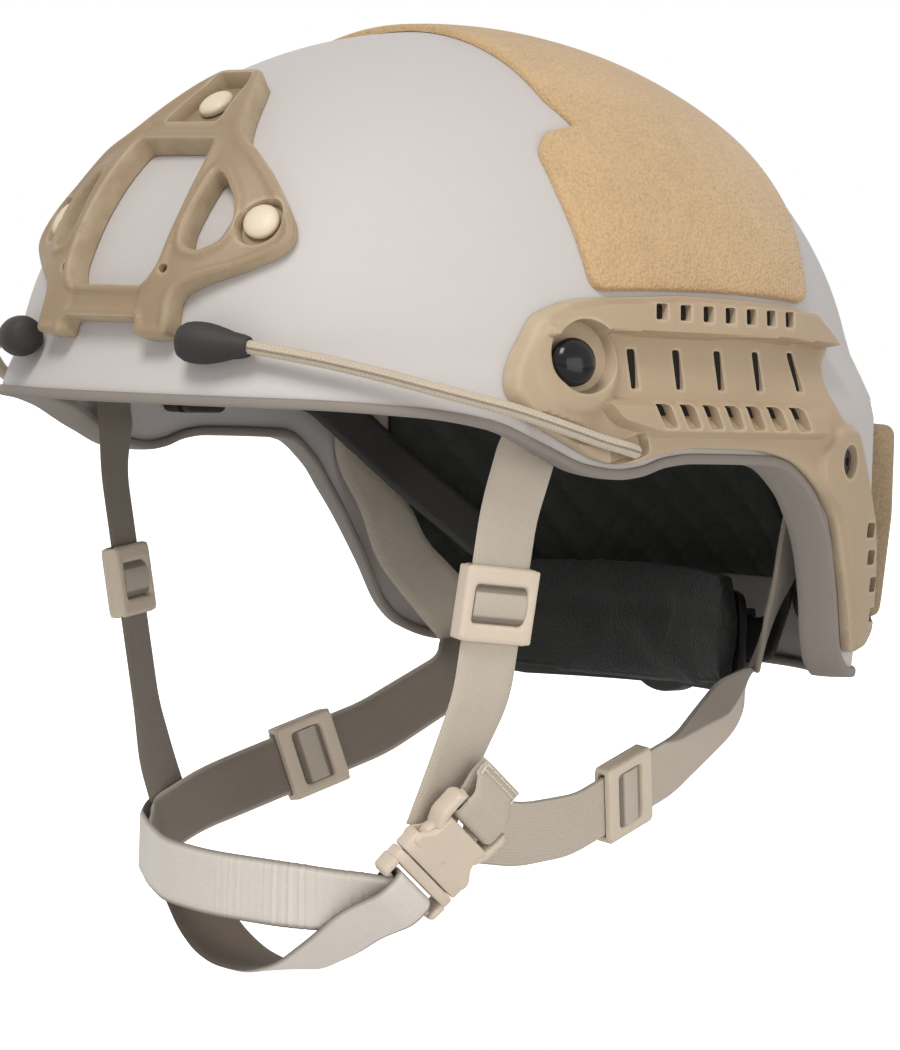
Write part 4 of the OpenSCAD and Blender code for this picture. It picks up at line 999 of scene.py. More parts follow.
def shroud_face(uv, depth):
    """Height of the shroud: thick between the struts and thinner to the sides, with round
    edges, a raised lip round its outline and the windows, and lower cross bars."""
    x, z = uv.T
    h = SKIN_SEAT + SHROUD_T * (1 - (1 - SIDE_SHARE) * smooth((np.abs(x) - 24) / 20))
    h = h - rounding(depth, 1.5) - 0.9 * smooth((depth - 1.6) / 1.6)
    bar = np.minimum(WINDOW_HALF - 1 - np.abs(x), 4.6 - np.abs(z - 27.6))
    cross = np.minimum(WINDOW_HALF + 2 - np.abs(x), 2.2 - np.abs(z - 74))
    return np.maximum(h - 1.2 * ramp(bar, 1.5) - 0.7 * ramp(cross, 1.5), 0.6)


shroud_cuts = [(top_pocket, 0.7, TOP_SEAT - 0.4), (side_seat, 0.8, SIDE_SEAT - 0.2),
               (side_seat * [-1, 1], 0.8, SIDE_SEAT - 0.2)]
shroud_cuts += [(loop, 0.3, 3.0) for loop in strut_foot]
points, faces, edge = plate(shroud_outline, [window, *side_windows], 1.0, shroud_face,
                            flat_at(0.3), square_front, shroud_cuts)
piece("brow_shroud", "helmet", "tan_plastic", SHADED_SHROUD_PLASTIC, points, faces, ["shroud"],
      edge=edge)
print("shroud", len(points), "points")

# %% [markdown]
# ## Screws and bolts
# A screw is turned about its axis, so its profile is swept round it. The pale shroud
# screws and the polished black rail bolts are plain domes, and the small rail screws have a
# round recess for the tool.

# %% Turned fasteners
SCREW_D = 5.0


def on_skin(a, z):
    """Local frame that stands square on the shell at an angle and height."""
    return stood(skin(a, z, 0), normal(a, z), [0, 0, 1])


def screw(head_d, head_h, seat_h, drive=0.0):
    """Profile of a domed screw: shank, flat underside, rounded rim, dome and a drive."""
    r = head_d / 2
    a = np.linspace(0, np.pi / 2, 9)
    dome = [(r * np.cos(v) ** 0.8, seat_h + head_h * (0.3 + 0.7 * np.sin(v))) for v in a[:-1]]
    shape = [(SCREW_D / 2, -1.0), (SCREW_D / 2, seat_h), (r * 0.96, seat_h), *dome]
    if drive:
        keep = [p for p in shape if p[0] > drive + 0.35 or p[1] <= seat_h]
        top = keep[-1][1]
        return keep + [(drive + 0.3, top + 0.12), (drive, top - 0.1), (drive * 0.98, top - 1.3),
                       (0.3, top - 1.5)]
    return shape + [(0.3, seat_h + head_h)]


def angle_of_front(x, z):
    """Plan angle at which the front passes x at height z, found from the point itself by
    a fine search among 4000 angles."""
    a = np.linspace(-90, 0, 4000)
    return float(a[np.abs(skin(a, z, 0)[:, 0] - x).argmin()])


shroud_spots = [on_skin(angle_of_front(*SCREW_SIDE), SCREW_SIDE[1])]
shroud_spots.append((shroud_spots[0][0] * [[-1], [1], [1]], shroud_spots[0][1] * [-1, 1, 1]))
screws = [lathe(screw(HEAD_D, 3.0, SIDE_SEAT + 0.1), spot) for spot in shroud_spots]
screws.append(lathe(screw(HEAD_D, 3.2, TOP_SEAT + 0.1), on_skin(-90, SCREW_TOP[1])))
piece("shroud_screw_heads", "helmet", "pale_screw", PALE_SCREW, *joined(*screws),
      ["shroud_screws"])

RAIL_BOLT, RAIL_SCREW, RAIL_FLOOR, RAIL_HEAD_D = (-47.9, 14.6), (64.4, -12.0), 4.2, 14.0
bolt_spot = on_skin(float(side_angle(*RAIL_BOLT, 0)), RAIL_BOLT[1])
screw_spot = on_skin(float(side_angle(*RAIL_SCREW, 0)), RAIL_SCREW[1])
bolt = lathe(screw(RAIL_HEAD_D, 6.0, RAIL_FLOOR + 0.1), bolt_spot, around=56)
piece("rail_bolt_domes", "helmet", "black_bolt", BLACK_BOLT, *joined(bolt, mirrored(*bolt)),
      ["rail_bolts"])
small = lathe(screw(SCREW_D + 3.0, 1.4, 2.6, drive=1.4), screw_spot)
piece("rail_screw_heads", "helmet", "black_bolt", DARK_PLASTIC, *joined(small, mirrored(*small)),
      ["rail_screws"])

# %% [markdown]
# ## Side rails
# A rail is the helmet's most detailed moulding: a channel with five slots between two
# notched ridges, a round pocket that lies to one side of the bolt, a pocket for the
# bungee's hook, and an arm down the back of the ear. All of that is one height field over
# the rail's outline. Ridges are added with a soft step, and slots, notches and pockets
# pull the surface down to a floor of their own.

# %% Rail
RAIL_RIDGE, ARM_T, BOLT_RISE_T, NOSE_T, TROUGH_H, TROUGH_R = 8.5, 6.0, 6.6, 6.0, 7.0, 2.8
rail_outline = softened([
    (-67.6, 5.8), (-66.7, 11.3), (-62.8, 18.4), (-56.4, 28.4), (-46.4, 32.5),
    (-37.6, 33.8), (-1.6, 35.3), (23.5, 34.5), (54.4, 33), (67.5, 24.2), (69, 21.4),
    (59, 15.8), (56, 9.6), (62, 0.4), (72, -1.2), (74, -5.4), (81.5, -17), (88.5, -29),
    (95, -41), (99, -55), (100.7, -65), (90, -70.5), (82.5, -70), (79.2, -65),
    (73.5, -53), (60.5, -29), (50.5, -18.8), (42, -12.6), (34.5, -10.2), (25.7, -8.9),
    (-3, -8.4), (-15.2, -10.2), (-25.2, -13), (-32.7, -13.2), (-38.8, -11.8),
    (-53, -5.3), (-63, -0.9)], 3.5)
upper_ridge = softened([
    (-57.5, 22), (-55.2, 27.2), (-46.2, 31.3), (-37.5, 32.6), (-1.6, 34.1), (23.5, 33.3),
    (53.8, 31.8), (65.5, 23.9), (66.5, 21.8), (30, 23.4), (-20, 24), (-34, 24.4),
    (-46, 24.6)], 2.0)
lower_ridge = softened([(-40, 5), (-28, 4.8), (38, 4), (52, 3), (51, -4.5), (38, -4.6),
                        (-20, -4.4), (-34, -1)], 2.0)
rail_arm = softened([
    (60, -1.6), (71, -3), (72.6, -6), (80, -17.5), (87, -29.7), (93.3, -41.6),
    (97.2, -55.5), (98.8, -64), (89.8, -69), (84, -68.6), (75.3, -52.5), (62, -28.3),
    (51, -19.8), (50, -10)], 3.0)
SLOT_PITCH, NOTCH_PITCH = 17.2, 9.3
slots_y = 8.0 + SLOT_PITCH * np.arange(-2, 3)
upper_notches = [(9.3 + s, 30.0 - 0.02 * s) for s in NOTCH_PITCH * np.arange(-3, 4)]
lower_notches = [(10.2 + s, 0.6 - 0.01 * s) for s in NOTCH_PITCH * np.arange(-3, 4)]
arm_notches = [(82.7, -32.8), (85.8, -41.1), (90.9, -49.6), (94.5, -59)]
trough = np.array([(-60, -1.2), (-54.5, -2.7), (-41.5, -6.3), (-33, -8.2), (-26.5, -9.4)])


def on_flank(uv, h):
    """Rail coordinates to the head: y and z on the wearer's left, h outside the shell."""
    return side(uv[:, 0], uv[:, 1], h)


def from_line(uv, line):
    """Distance from points to an open line: the least over its segments."""
    least = np.full(len(uv), 1e9)
    for a, b in zip(line[:-1], line[1:]):
        t = np.clip((uv - a) @ (b - a) / ((b - a) @ (b - a)), 0, 1)
        least = np.minimum(least, np.linalg.norm(uv - a - t[:, None] * (b - a), axis=1))
    return least


def rail_face(uv, depth):
    """Height of the rail: floor, seat of the bolt, ridges and arm, less the bungee's
    trough, which is round like the cord."""
    raise_to = [(inside_by(uv, bolt_rise, 20), BOLT_RISE_T, 5.0),
                (inside_by(uv, upper_ridge), RAIL_RIDGE, 1.2),
                (inside_by(uv, lower_ridge), RAIL_RIDGE - 1, 2.4),
                (inside_by(uv, rail_arm), ARM_T, 2.0), (-44 - uv[:, 0], NOSE_T, 10.0)]
    low = RAIL_FLOOR - 1.6 * smooth((uv[:, 1] - 2) / 18) * smooth((uv[:, 0] + 38) / 8)
    h = low
    for d, top, width in raise_to:
        h = np.maximum(h, low + (top - low) * ramp(d, width))
    away = from_line(uv, trough)
    groove = TROUGH_H - np.sqrt(np.maximum(TROUGH_R ** 2 - away ** 2, 0))
    h = np.where(away < TROUGH_R, np.minimum(h, groove), h)
    return np.maximum(h - rounding(depth, 2.2) * np.clip((h - 1) / 4, 0, 1), 0.6)


bolt_rise = ring_line(RAIL_BOLT, 14.5)
bolt_pocket = ring_line(np.add(RAIL_BOLT, (2.3, 2.7)), 10.6, 48)
rail_cuts = [(bolt_pocket, 0.6, 2.6),
             (ring_line(RAIL_SCREW, 4.6, 28) * [1, 1.12] - [0, -1.44], 0.8, 2.4),
             (box_line((-28.2, -8.8), (14, 6.8), turn=17, corner=2.6), 0.8, 1.2)]
slot_lines = [box_line((s, 14), (3.0, 11.4), corner=0.9) for s in slots_y]
top_lines = [box_line(p, (4.4, 4.6), lean=0.2) for p in upper_notches]
low_lines = [box_line(p, (5.4, 7.0), lean=-0.6, corner=1.2) for p in lower_notches]
arm_lines = [box_line(p, (7, 4.6), corner=1.2) for p in arm_notches]
rail_cuts += [(line, 0.35, 0.5) for line in slot_lines]
rail_cuts += [(line, 0.4, 3.0) for line in top_lines]
rail_cuts += [(line, 0.5, lambda uv, z=p[1]: 5.4 - 4.4 * np.clip((uv[:, 1] - z) / 6 + 0.45, 0, 1))
              for line, p in zip(low_lines, lower_notches)]
rail_cuts += [(line, 0.5, 1.6) for line in arm_lines]
ridge_lines = [inset(resampled(ridge, 1.2), by) for ridge in (upper_ridge, lower_ridge)
               for by in (1.0, -1.0)]
points, faces, edge = plate(rail_outline, [], 0.95, rail_face, flat_at(0.3), on_flank,
                            rail_cuts, ridge_lines)
for where, solid in both_sides(points, faces):
    piece(f"side_rail_{where}", "helmet", "tan_plastic", RAIL_PLASTIC, *solid,
          [f"rail_{where}"], edge=edge)
print("rail", len(points), "points")

# %% [markdown]
# The slots and notches go through to the gap behind the rail, which lies in shade. A
# near-black plug fills each of them part of the way up: painted shade, which is what makes
# them read as holes from any side.

# %% Painted shade in the rail's gaps
gap_shade_plugs = []
low_gaps = [line * [1, 0.5] + [0, 1.6 + 0.5 * line.mean(0)[1]] for line in low_lines]
for lines, height, share in ((slot_lines, 2.2, 1.0), (top_lines, 6.4, 0.86),
                             (arm_lines, 3.6, 0.86), (low_gaps, 4.4, 0.84)):
    for line in lines:
        inside = line.mean(0) + (line - line.mean(0)) * share
        gap_shade_plugs.append(plate(inside, [], 1.6, flat_at(height), flat_at(0.35), on_flank,
                               rings=(0.4,))[:2])
for where, solid in both_sides(*joined(*gap_shade_plugs)):
    piece(f"rail_gap_shade_{where}", "helmet", "black_bolt", GAP_SHADE_BLACK, *solid)

# %% [markdown]
# ## Bungees and their rubber caps
# On each side an elastic cord runs from a rubber cap beside the shroud's foot, round the
# brim, to the hook pocket in the rail. Its length, 128 mm, is what shows between cap and
# rail, and it is held taut at both ends, so it lies on the brim. The braid is a weave on
# the cord's own coordinates.

# %% Paths


def rounded(route, cap, steps=8):
    """Route with rounded corners: a quadratic curve that takes up to cap of each run."""
    p = np.asarray(route, float)
    before, here, after = p[:-2], p[1:-1], p[2:]
    la = np.linalg.norm((before - here)[:, :3], axis=1)
    lc = np.linalg.norm((after - here)[:, :3], axis=1)
    d = np.minimum(cap, 0.42 * np.minimum(la, lc))
    a = here + (before - here) * (d / la)[:, None]
    c = here + (after - here) * (d / lc)[:, None]
    return np.concatenate([p[:1], curved(a, here, c, steps), p[-1:]])


def spaced(route, step):
    """Route again with points evenly spaced along its length, and those lengths."""
    run = np.concatenate([[0], np.cumsum(np.linalg.norm(np.diff(route[:, :3], axis=0), axis=1))])
    s = np.linspace(0, run[-1], max(int(run[-1] / step), 4) + 1)
    return np.stack([np.interp(s, run, route[:, k]) for k in range(route.shape[1])], -1), s


def headings(points):
    """Direction of travel at each point of a route."""
    return unit(np.gradient(points, axis=0))


CAP_LEN, CAP_D, BUNGEE_D, BUNGEE_OFF = 22.0, 12.0, 4.0, 7.0
CAP_END, CAP_MOUTH = np.array([33.5, -130, 18.0]), np.array([54, -121.5, 17.0])
bungee_view = np.array([(-113.5, 14.6), (-103, 11.3), (-87, 6.2), (-71, 2), (-54.5, -2.7),
                        (-41.5, -6.3), (-33, -8.2)])
bungee_route = np.concatenate([[CAP_END + 0.8 * (CAP_MOUTH - CAP_END), CAP_MOUTH],
                               side(bungee_view[:, 0], bungee_view[:, 1], BUNGEE_OFF),
                               [side(-26.5, -9.4, BUNGEE_OFF - 2.6)]])
line, run = spaced(rounded(bungee_route, 12), 1.5)
heading = headings(line)
across = unit(np.cross(heading, [0, 0, 1]))
cord = tube(ringed(line, across, np.cross(across, heading), BUNGEE_D / 2, 20))
uv = np.stack(np.broadcast_arrays(circle(20) * BUNGEE_D / 2, run[:, None]), -1).reshape(-1, 2)
uv = np.concatenate([uv, uv[:1], uv[-1:]])
neck = BUNGEE_D / 2 + 1.3
cap = lathe([(0.3, 0), (CAP_D * 0.26, 0.1), (CAP_D * 0.38, 0.9), (CAP_D * 0.46, CAP_LEN * 0.12),
             (CAP_D * 0.495, CAP_LEN * 0.22), (CAP_D / 2, CAP_LEN * 0.32),
             (CAP_D * 0.49, CAP_LEN * 0.42), (CAP_D * 0.45, CAP_LEN * 0.54),
             (neck + 1.3, CAP_LEN * 0.68), (neck + 0.6, CAP_LEN * 0.78),
             (neck + 0.1, CAP_LEN * 0.93), (neck - 0.4, CAP_LEN),
             (BUNGEE_D / 2 + 0.2, CAP_LEN), (BUNGEE_D / 2, CAP_LEN - 1)],
            stood(CAP_END, CAP_MOUTH - CAP_END, [0, 0, 1]))
for (where, bonnet), (_, solid), sign in zip(both_sides(*cap), both_sides(*cord), (1, -1)):
    rubber = piece(f"cord_cap_{where}", "helmet", "cap_rubber", CAP_RUBBER, *bonnet,
                   [f"bungee_cap_{where}"])
    rope = piece(f"elastic_cord_{where}", "helmet", "bungee_cord", BUNGEE_BRAID, *solid,
                 [f"bungee_{where}"], uv=uv)
print("bungee", round(run[-1]), "mm")

# %% [markdown]
# ## Webbing
# The harness is flat nylon webbing, which keeps its width and bends only across it. Each
# strap is a flat section with rounded edges, carried along a route that also says which
# way the width points. Stitching is real thread: short rounded stitches laid on the
# surface along a line.

# %% Webbing and stitches
STRAP_W, STRAP_T, STITCH_LEN, THREAD_R = 19.0, 1.6, 2.6, 0.28


def strap_frames(route, cap=6.0, step=1.2):
    """Centres, width directions, normals and lengths along a strap's rounded route."""
    line, run = spaced(rounded(route, cap), step)
    heading = headings(line[:, :3])
    width = unit(line[:, 3:] - heading * (line[:, 3:] * heading).sum(1, keepdims=True))
    return line[:, :3], width, unit(np.cross(heading, width)), run


def webbing(frames, wide=STRAP_W, thick=STRAP_T, ripple=None, count=13):
    """Strap solid: a flat oval section with count points a side, and ripples across it. The
    last array is 1 on the face that the normals point away from."""
    centre, width, out, run = frames
    x = np.linspace(-1, 1, count)
    bend = np.sqrt(np.maximum(1 - np.maximum(np.abs(x) - 0.93, 0) ** 2 / 0.07 ** 2, 0))
    upper = np.stack([x, bend], -1)
    section = np.concatenate([upper, (upper * [1, -1])[-2:0:-1]])
    lift = np.zeros(len(run)) if ripple is None else ripple(run)
    rings = (centre[:, None] + width[:, None] * section[None, :, :1] * wide / 2
             + out[:, None] * (section[None, :, 1:] * thick / 2 + lift[:, None, None]))
    across = np.broadcast_to(section[:, 0] * wide / 2, rings.shape[:2])
    uv = np.stack([across, np.broadcast_to(run[:, None], rings.shape[:2])], -1).reshape(-1, 2)
    points, faces = tube(rings)
    behind = np.broadcast_to(section[:, 1] < -0.5, rings.shape[:2]).ravel()
    return (points, faces, np.concatenate([uv, [[0, run[0]], [0, run[-1]]]]),
            np.concatenate([behind, [False, False]]).astype(float))


def sew(frames, seams, face):
    """Stitches along seams given as (length, across) pairs, on one face of a strap: each
    stitch is a short six-sided capsule that dips into the webbing at its ends."""
    centre, width, out, run = frames
    solids = []
    for (s0, x0), (s1, x1) in seams:
        count = max(int(np.hypot(s1 - s0, x1 - x0) / STITCH_LEN), 1)
        t = (np.arange(count)[:, None] + np.array([0.08, 0.3, 0.7, 0.92])) / count
        s, x = s0 + (s1 - s0) * t, x0 + (x1 - x0) * t
        p, w, n = (np.stack([np.interp(s, run, v[:, k]) for k in range(3)], -1)
                   for v in (centre, width, out))
        height = face * (STRAP_T / 2 + np.array([-0.1, 0.16, 0.16, -0.1]))
        line = p + w * x[..., None] + n * height[None, :, None]
        flat = unit(np.cross(unit(line[:, 3] - line[:, 0]), n[:, 1]))
        solids += [tube(rings) for rings in ringed(line, flat[:, None], n[:, 1:2], THREAD_R, 6)]
    return joined(*solids)


def on_wall(y, z, deep=2.8):
    """Point a few millimetres inside the inner wall, at the wearer's left."""
    return side(y, z, -WALL - deep).tolist()


def flipped(route):
    """Route of the other side: x and the width's x change sign."""
    return [[-p[0], *p[1:3], -p[3], *p[4:]] for p in route]


front_w, front_top_w, rear_w = [0.25, 0.97, 0], [0.3, 0.95, 0], [0.1, 0.3, 1]
front_w_right = [-0.42, 0.91, 0]
front_top = [on_wall(-45.5, 22), on_wall(-45.8, -2), on_wall(-47.5, -9, 5.5)]
front_run, front_run_right = ([[89.5, -53, -28], [84, -56, -80]],
                              [[-90, -48.3, -24], [-82, -39.4, -95]])
rear_run = [[66.5, 43, -105], [72.5, -6, -120.5]]
rear_top = [on_wall(61.5, 4) + [0.33, -0.94, 0], on_wall(62.5, -19) + [0.33, -0.94, 0],
            [91.5, 67.5, -33, 0.2, -1, 0], [84, 70, -50, 0.4, -0.8, 0],
            [62, 83, -76, 0.713, -0.66, -0.233], [60, 72, -89, 0.1, -0.61, 0.78]]
top_left = [p + front_top_w for p in front_top]
ROUTES = {
    "front_strap_left": top_left + [p + front_w for p in front_run]
    + [[78.5, -61, -100, 0, 1, -0.25], [74.5, -66, -119, 0, 1, -0.25]],
    "front_strap_right": flipped(top_left) + [p + front_w_right for p in front_run_right]
    + [[-79, -36.8, -113, -0.25, 0.97, 0.1], [-76.9, -33.8, -124, -0.25, 0.97, 0.2]],
    "rear_strap_left": rear_top + [p + rear_w for p in rear_run]
    + [[75, -30, -122, 0.1, 0, 1], [76.6, -54, -119, 0.1, 0, 1]],
    "rear_strap_right": flipped(rear_top + [p + rear_w for p in rear_run])
    + [[-75, -22, -126, 0, 0.1, 1], [-74.6, -41.5, -134.5, 0, 0.1, 1],
       [-64.5, -51.5, -137.5, 0, 0.1, 1]]}
WALL_RUN, WEDGE_START, WEDGE_END = 96, 110, 152


def facing_head(frames, behind):
    """Which face gets painted shade: the one whose normals point at the head's middle."""
    centre, _, out, _ = frames
    middle = len(centre) // 2
    towards = np.dot(out[middle], np.array([0, 0, centre[middle, 2]]) - centre[middle])
    return behind if towards < 0 else 1 - behind


def strap_shade(name, facing, uv):
    """Where a strap gets painted shade: everywhere on the face at the head. The left rear
    strap also gets it up the wall and in a wedge along its upper edge, from the twist to
    the adjuster, where the webbing rolls over. Up the far wall the right one has none."""
    across, run = uv.T
    up_wall = smooth((WALL_RUN - run) / 14)
    if name == "rear_strap_right":
        return facing * (1 - up_wall)
    if name == "rear_strap_left":
        edge = 10.5 - 13 * np.clip((WEDGE_END - run) / (WEDGE_END - WEDGE_START), 0, 1)
        return np.maximum(np.maximum(facing, up_wall), 1.2 * smooth((across - edge) / 1.3 + 0.5))
    return facing


for name, route in ROUTES.items():
    frames = strap_frames(route)
    points, faces, uv, behind = webbing(frames, count=37 if name == "rear_strap_left" else 13)
    piece(name.replace("strap", "webbing"), "helmet", "webbing", WEBBING, points, faces,
          [name], uv=uv, lining=strap_shade(name, facing_head(frames, behind), uv))
    print(name, round(frames[3][-1]), "mm")

# %% [markdown]
# ## Adjusters
# An adjuster is a small moulded frame that grips the webbing: a face with one rounded
# window, a back plate with the same window, and two side walls. In the window the strap
# folds over an inner bar, so a short crowned patch of webbing fills it, light on top and
# with painted shade where it dives under the frame.

# %% Adjusters
SLIDER_W, SLIDER_LEN, SLIDER_T, SLIDE_GAP = 24.0, 22.0, 6.0, 0.4
FOLD_W, FOLD_LEN, FOLD_RISE = 8.4, 5.6, 1.9
UNDER_FRAME = STRAP_T / 2 + SLIDE_GAP


def slider_face(uv, depth):
    """Face of an adjuster: a frame that is thickest round its window and round at its rim."""
    return SLIDER_T / 2 - 0.35 * smooth((depth - 2) / 3) - rounding(depth, 1.2)


def slider_space(uv, h):
    """Plate coordinates to the adjuster's frame: across, out of the strap, along it."""
    return np.stack([uv[:, 0], h, uv[:, 1]], -1)


def fold_face(uv, depth):
    """Webbing over the inner bar: an arch along the strap that ends under the frame."""
    arch = np.sqrt(np.maximum(1 - (uv[:, 1] / (FOLD_LEN - 0.6)) ** 2, 0))
    return UNDER_FRAME + 0.05 + FOLD_RISE * arch


frame_line = box_line((0, 0), (SLIDER_W, SLIDER_LEN), corner=2.6)
opening = box_line((0, 0), (2 * FOLD_W, 2 * FOLD_LEN), corner=1.4)
face = plate(frame_line, [opening], 0.9, slider_face, flat_at(UNDER_FRAME), slider_space)[:2]
wall_at, wall_len, wall_half = SLIDER_W / 2 - 1.1, SLIDER_LEN - 0.8, 2.3
walls = [plate(box_line((sign * wall_at, 0), (2, wall_len), corner=0.8), [], 0.9,
               flat_at(wall_half), flat_at(-wall_half), slider_space)[:2] for sign in (-1, 1)]
slider = joined(*two_faced(face), *walls)
fold = plate(opening, [], 0.7, fold_face, flat_at(UNDER_FRAME - 0.2), slider_space)[:2]
# Painted shade at the fold's ends, where the webbing dives under the frame.
fold_shade = 2.4 * smooth((np.abs(fold[0][:, 2]) - 3.0) / 1.6)
SLIDERS = {"front_slider_left": ("front_adjuster_left", front_run, front_w, 0.5),
           "front_slider_right": ("front_adjuster_right", front_run_right, front_w_right, 0.47),
           "rear_slider_left": ("rear_adjuster_left", rear_run, rear_w, 0.5),
           "rear_slider_right": ("rear_adjuster_right",
                                 [[-p[0], p[1], p[2]] for p in rear_run], [-0.1, 0.3, 1], 0.5)}
for name, (body, (a, b), width, share) in SLIDERS.items():
    a, b = np.array(a), np.array(b)
    where = stood(a + (b - a) * share, b - a, width)
    piece(name.replace("slider", "adjuster"), body, "tan_plastic", BUCKLE_PLASTIC,
          placed(slider[0], where), slider[1], [name])
    for label, (points, faces) in zip(("outer", "inner"), two_faced(fold)):
        piece(name.replace("slider", "fold_" + label), body, "webbing", WEBBING,
              placed(points, where), faces, uv=points[:, [0, 2]], lining=fold_shade)
print("adjuster", len(slider[0]), "points")

# %% [markdown]
# ## Side-release buckle
# The female half is a flat sleeve at its mouth, two plates that leave the sides open for
# the latches, and two posts that carry the bar for the webbing. The male half has a
# matching collar, two springy arms with rounded shoulders, a middle tongue, and two end
# posts with a bar. Sleeves are closed profiles carried round a flat oval, and the rest are
# plates.

# %% Buckle
BUCKLE_W, BUCKLE_T, FEMALE_LEN, MALE_BODY = 26.0, 8.0, 24.0, 9.0
buckle_low, buckle_high = np.array([72, -78.8, -140.7]), np.array([86.5, -56.8, -112.2])
buckle_dir = unit(buckle_high - buckle_low)
buckle_len = np.linalg.norm(buckle_high - buckle_low)
in_buckle = stood(buckle_low, buckle_dir, [0, -0.8, 0.6])
mouth_z = buckle_len - FEMALE_LEN


def oval(half_x, half_y, z, around=64):
    """Flat oval section of the buckle: a superellipse of power 5."""
    a = circle(around)
    return np.stack([half_x * power(np.cos(a), 0.4), half_y * power(np.sin(a), 0.4),
                     np.full(around, float(z))], -1)


def sleeve(z0, z1, wall_t):
    """Hollow sleeve as wide as the buckle, with rounded lips: rings go up the outside and
    down the inside, each smaller than the buckle by its own amount."""
    lip = 0.7
    profile = [(lip, z0), (0.2, z0 + 0.25), (0, z0 + lip), (0, z1 - lip), (0.2, z1 - 0.25),
               (lip, z1), (wall_t, z1), (wall_t, z0)]
    return tube(np.stack([oval(BUCKLE_W / 2 - less, BUCKLE_T / 2 - less, at)
                          for less, at in profile]), capped=False)


def bar(half_x, half_y, half_z, z):
    """Rounded bar that runs across the buckle."""
    a = circle(20)
    ring = np.stack([np.zeros(20), half_y * power(np.cos(a), 0.6),
                     half_z * power(np.sin(a), 0.6)], -1)
    xs = np.linspace(-half_x, half_x, 9)
    return tube(ring[None] + np.stack([xs, np.zeros(9), np.full(9, float(z))], -1)[:, None])


def buckle_plate(outline, step, low, high, r):
    """Plate of the buckle between two heights, with the edges of its outer face rounded."""
    return plate(outline, [], step, lambda uv, d: high - rounding(d, r), flat_at(low),
                 slider_space)[:2]


def buckle_pair(outline, soft, step, high, r):
    """The same part at both edges of the buckle, each with its front and its back."""
    lines = [softened(np.array(outline) * [sign, 1], soft) for sign in (1, -1)]
    return [half for line in lines for half in two_faced(buckle_plate(line, step, 0.0, high, r))]


z = mouth_z
face_line = softened([(-12.6, z + 3), (12.6, z + 3), (12.6, z + 6.5), (9.0, z + 9.5),
                      (9.0, z + 16), (-9.0, z + 16), (-9.0, z + 9.5), (-12.6, z + 6.5)], 2.0)
front_face = buckle_plate(face_line, 0.5, BUCKLE_T / 2 - 1.8, BUCKLE_T / 2, 1.0)
posts = buckle_pair([(7.6, z + 11.5), (9.2, z + 10.2), (11.6, z + 14.5), (11.8, z + 22.0),
                     (9.2, z + 23.8), (8.9, z + 16.0)], 1.2, 0.45, BUCKLE_T / 2 - 0.2, 1.1)
female = joined(sleeve(z, z + 6.5, 1.7), *two_faced(front_face),
                bar(9.4, 1.9, 1.9, z + 22.0), bar(9.0, 3.9, 0.9, z + 15.1), *posts)
arms = buckle_pair([(7.2, z - 2), (9.8, z - 2), (9.8, z + 6), (10.6, z + 7.2), (10.6, z + 9.5),
                    (9.2, z + 12.3), (7.4, z + 11.5)], 1.0, 0.4, 2.1, 0.9)
tongue_line = softened([(-1.6, z - 2), (1.6, z - 2), (1.4, z + 10.6), (-1.4, z + 10.6)], 1.2)
tongue = buckle_plate(tongue_line, 0.4, 0.0, 1.6, 0.8)
low = z - 0.3 - MALE_BODY
end_posts = buckle_pair([(10.4, low), (12.6, low + 0.8), (12.9, low + 6), (10.4, low + 6)],
                        0.9, 0.4, BUCKLE_T / 2 - 0.4, 1.0)
male = joined(sleeve(z - 3.7, z - 0.3, 1.8), bar(10.8, 3.4, 1.0, z - 2.4),
              bar(10.8, 1.9, 1.05, low + 1.1), *two_faced(tongue), *arms, *end_posts)
for name, body, stands_for, solid in (("buckle_socket", "helmet", "buckle_female", female),
                                      ("buckle_plug", "buckle", "buckle_male", male)):
    piece(name, body, "tan_plastic", BUCKLE_PLASTIC, placed(solid[0], in_buckle), solid[1],
          [stands_for])
print("buckle", len(female[0]), "and", len(male[0]), "points")

# %% [markdown]
# ## Chin straps and sewn ends
# The chin straps are softer webbing, creased across where they fold round the jaw, so a
# ripple along their length lifts them a little. A web loop joins the buckle to the two
# straps above it, and the stitched boxes show there in pale thread.

# %% Chin straps
LOOP_W, BAR_T, BAR_Y = 17.0, 4.0, 3.4
male_end = buckle_len - FEMALE_LEN - SEAT - MALE_BODY
buckle_across = in_buckle[0][:, 0]


def in_buckle_at(y, z):
    """Point in the buckle's frame, with the width across the buckle."""
    point = buckle_low + buckle_dir * z + in_buckle[0][:, 1] * y
    return [*point.tolist(), *buckle_across.tolist()]


chin_front_route = [
    in_buckle_at(1.4, male_end - 1), [60, -86.5, -139.5, 0, -0.3, 0.95], [44, -93, -139, 0, 0, 1],
    [12, -93, -139, 0, 0, 1], [-20, -83, -139, 0, 0, 1], [-50, -64, -138, 0, 0, 1],
    [-77.5, -44, -137, 0, 0, 1], [-82.5, -27, -131, -0.1, 0, 1]]
chin_lower_route = [
    in_buckle_at(-BAR_Y, male_end - 3), in_buckle_at(-BAR_Y, male_end + 3.8),
    in_buckle_at(BAR_Y, male_end + 3.8), in_buckle_at(BAR_Y, male_end - 4),
    [64.4, -82, -145.9, 0, -0.82, 0.56], [52.8, -81, -153.2, -0.1, -0.9, 0.35],
    [34.9, -78, -161.6, -0.2, -0.95, 0.1], [18.7, -75, -164.2, -0.3, -0.93, -0.1],
    [0.9, -71, -163.3, -0.4, -0.87, -0.25], [-13.9, -66, -160.3, -0.48, -0.8, -0.35],
    [-28.2, -60, -155.6, -0.48, -0.8, -0.35], [-41, -54, -148.9, -0.48, -0.8, -0.35],
    [-50, -51, -142.5, -0.48, -0.8, -0.35]]


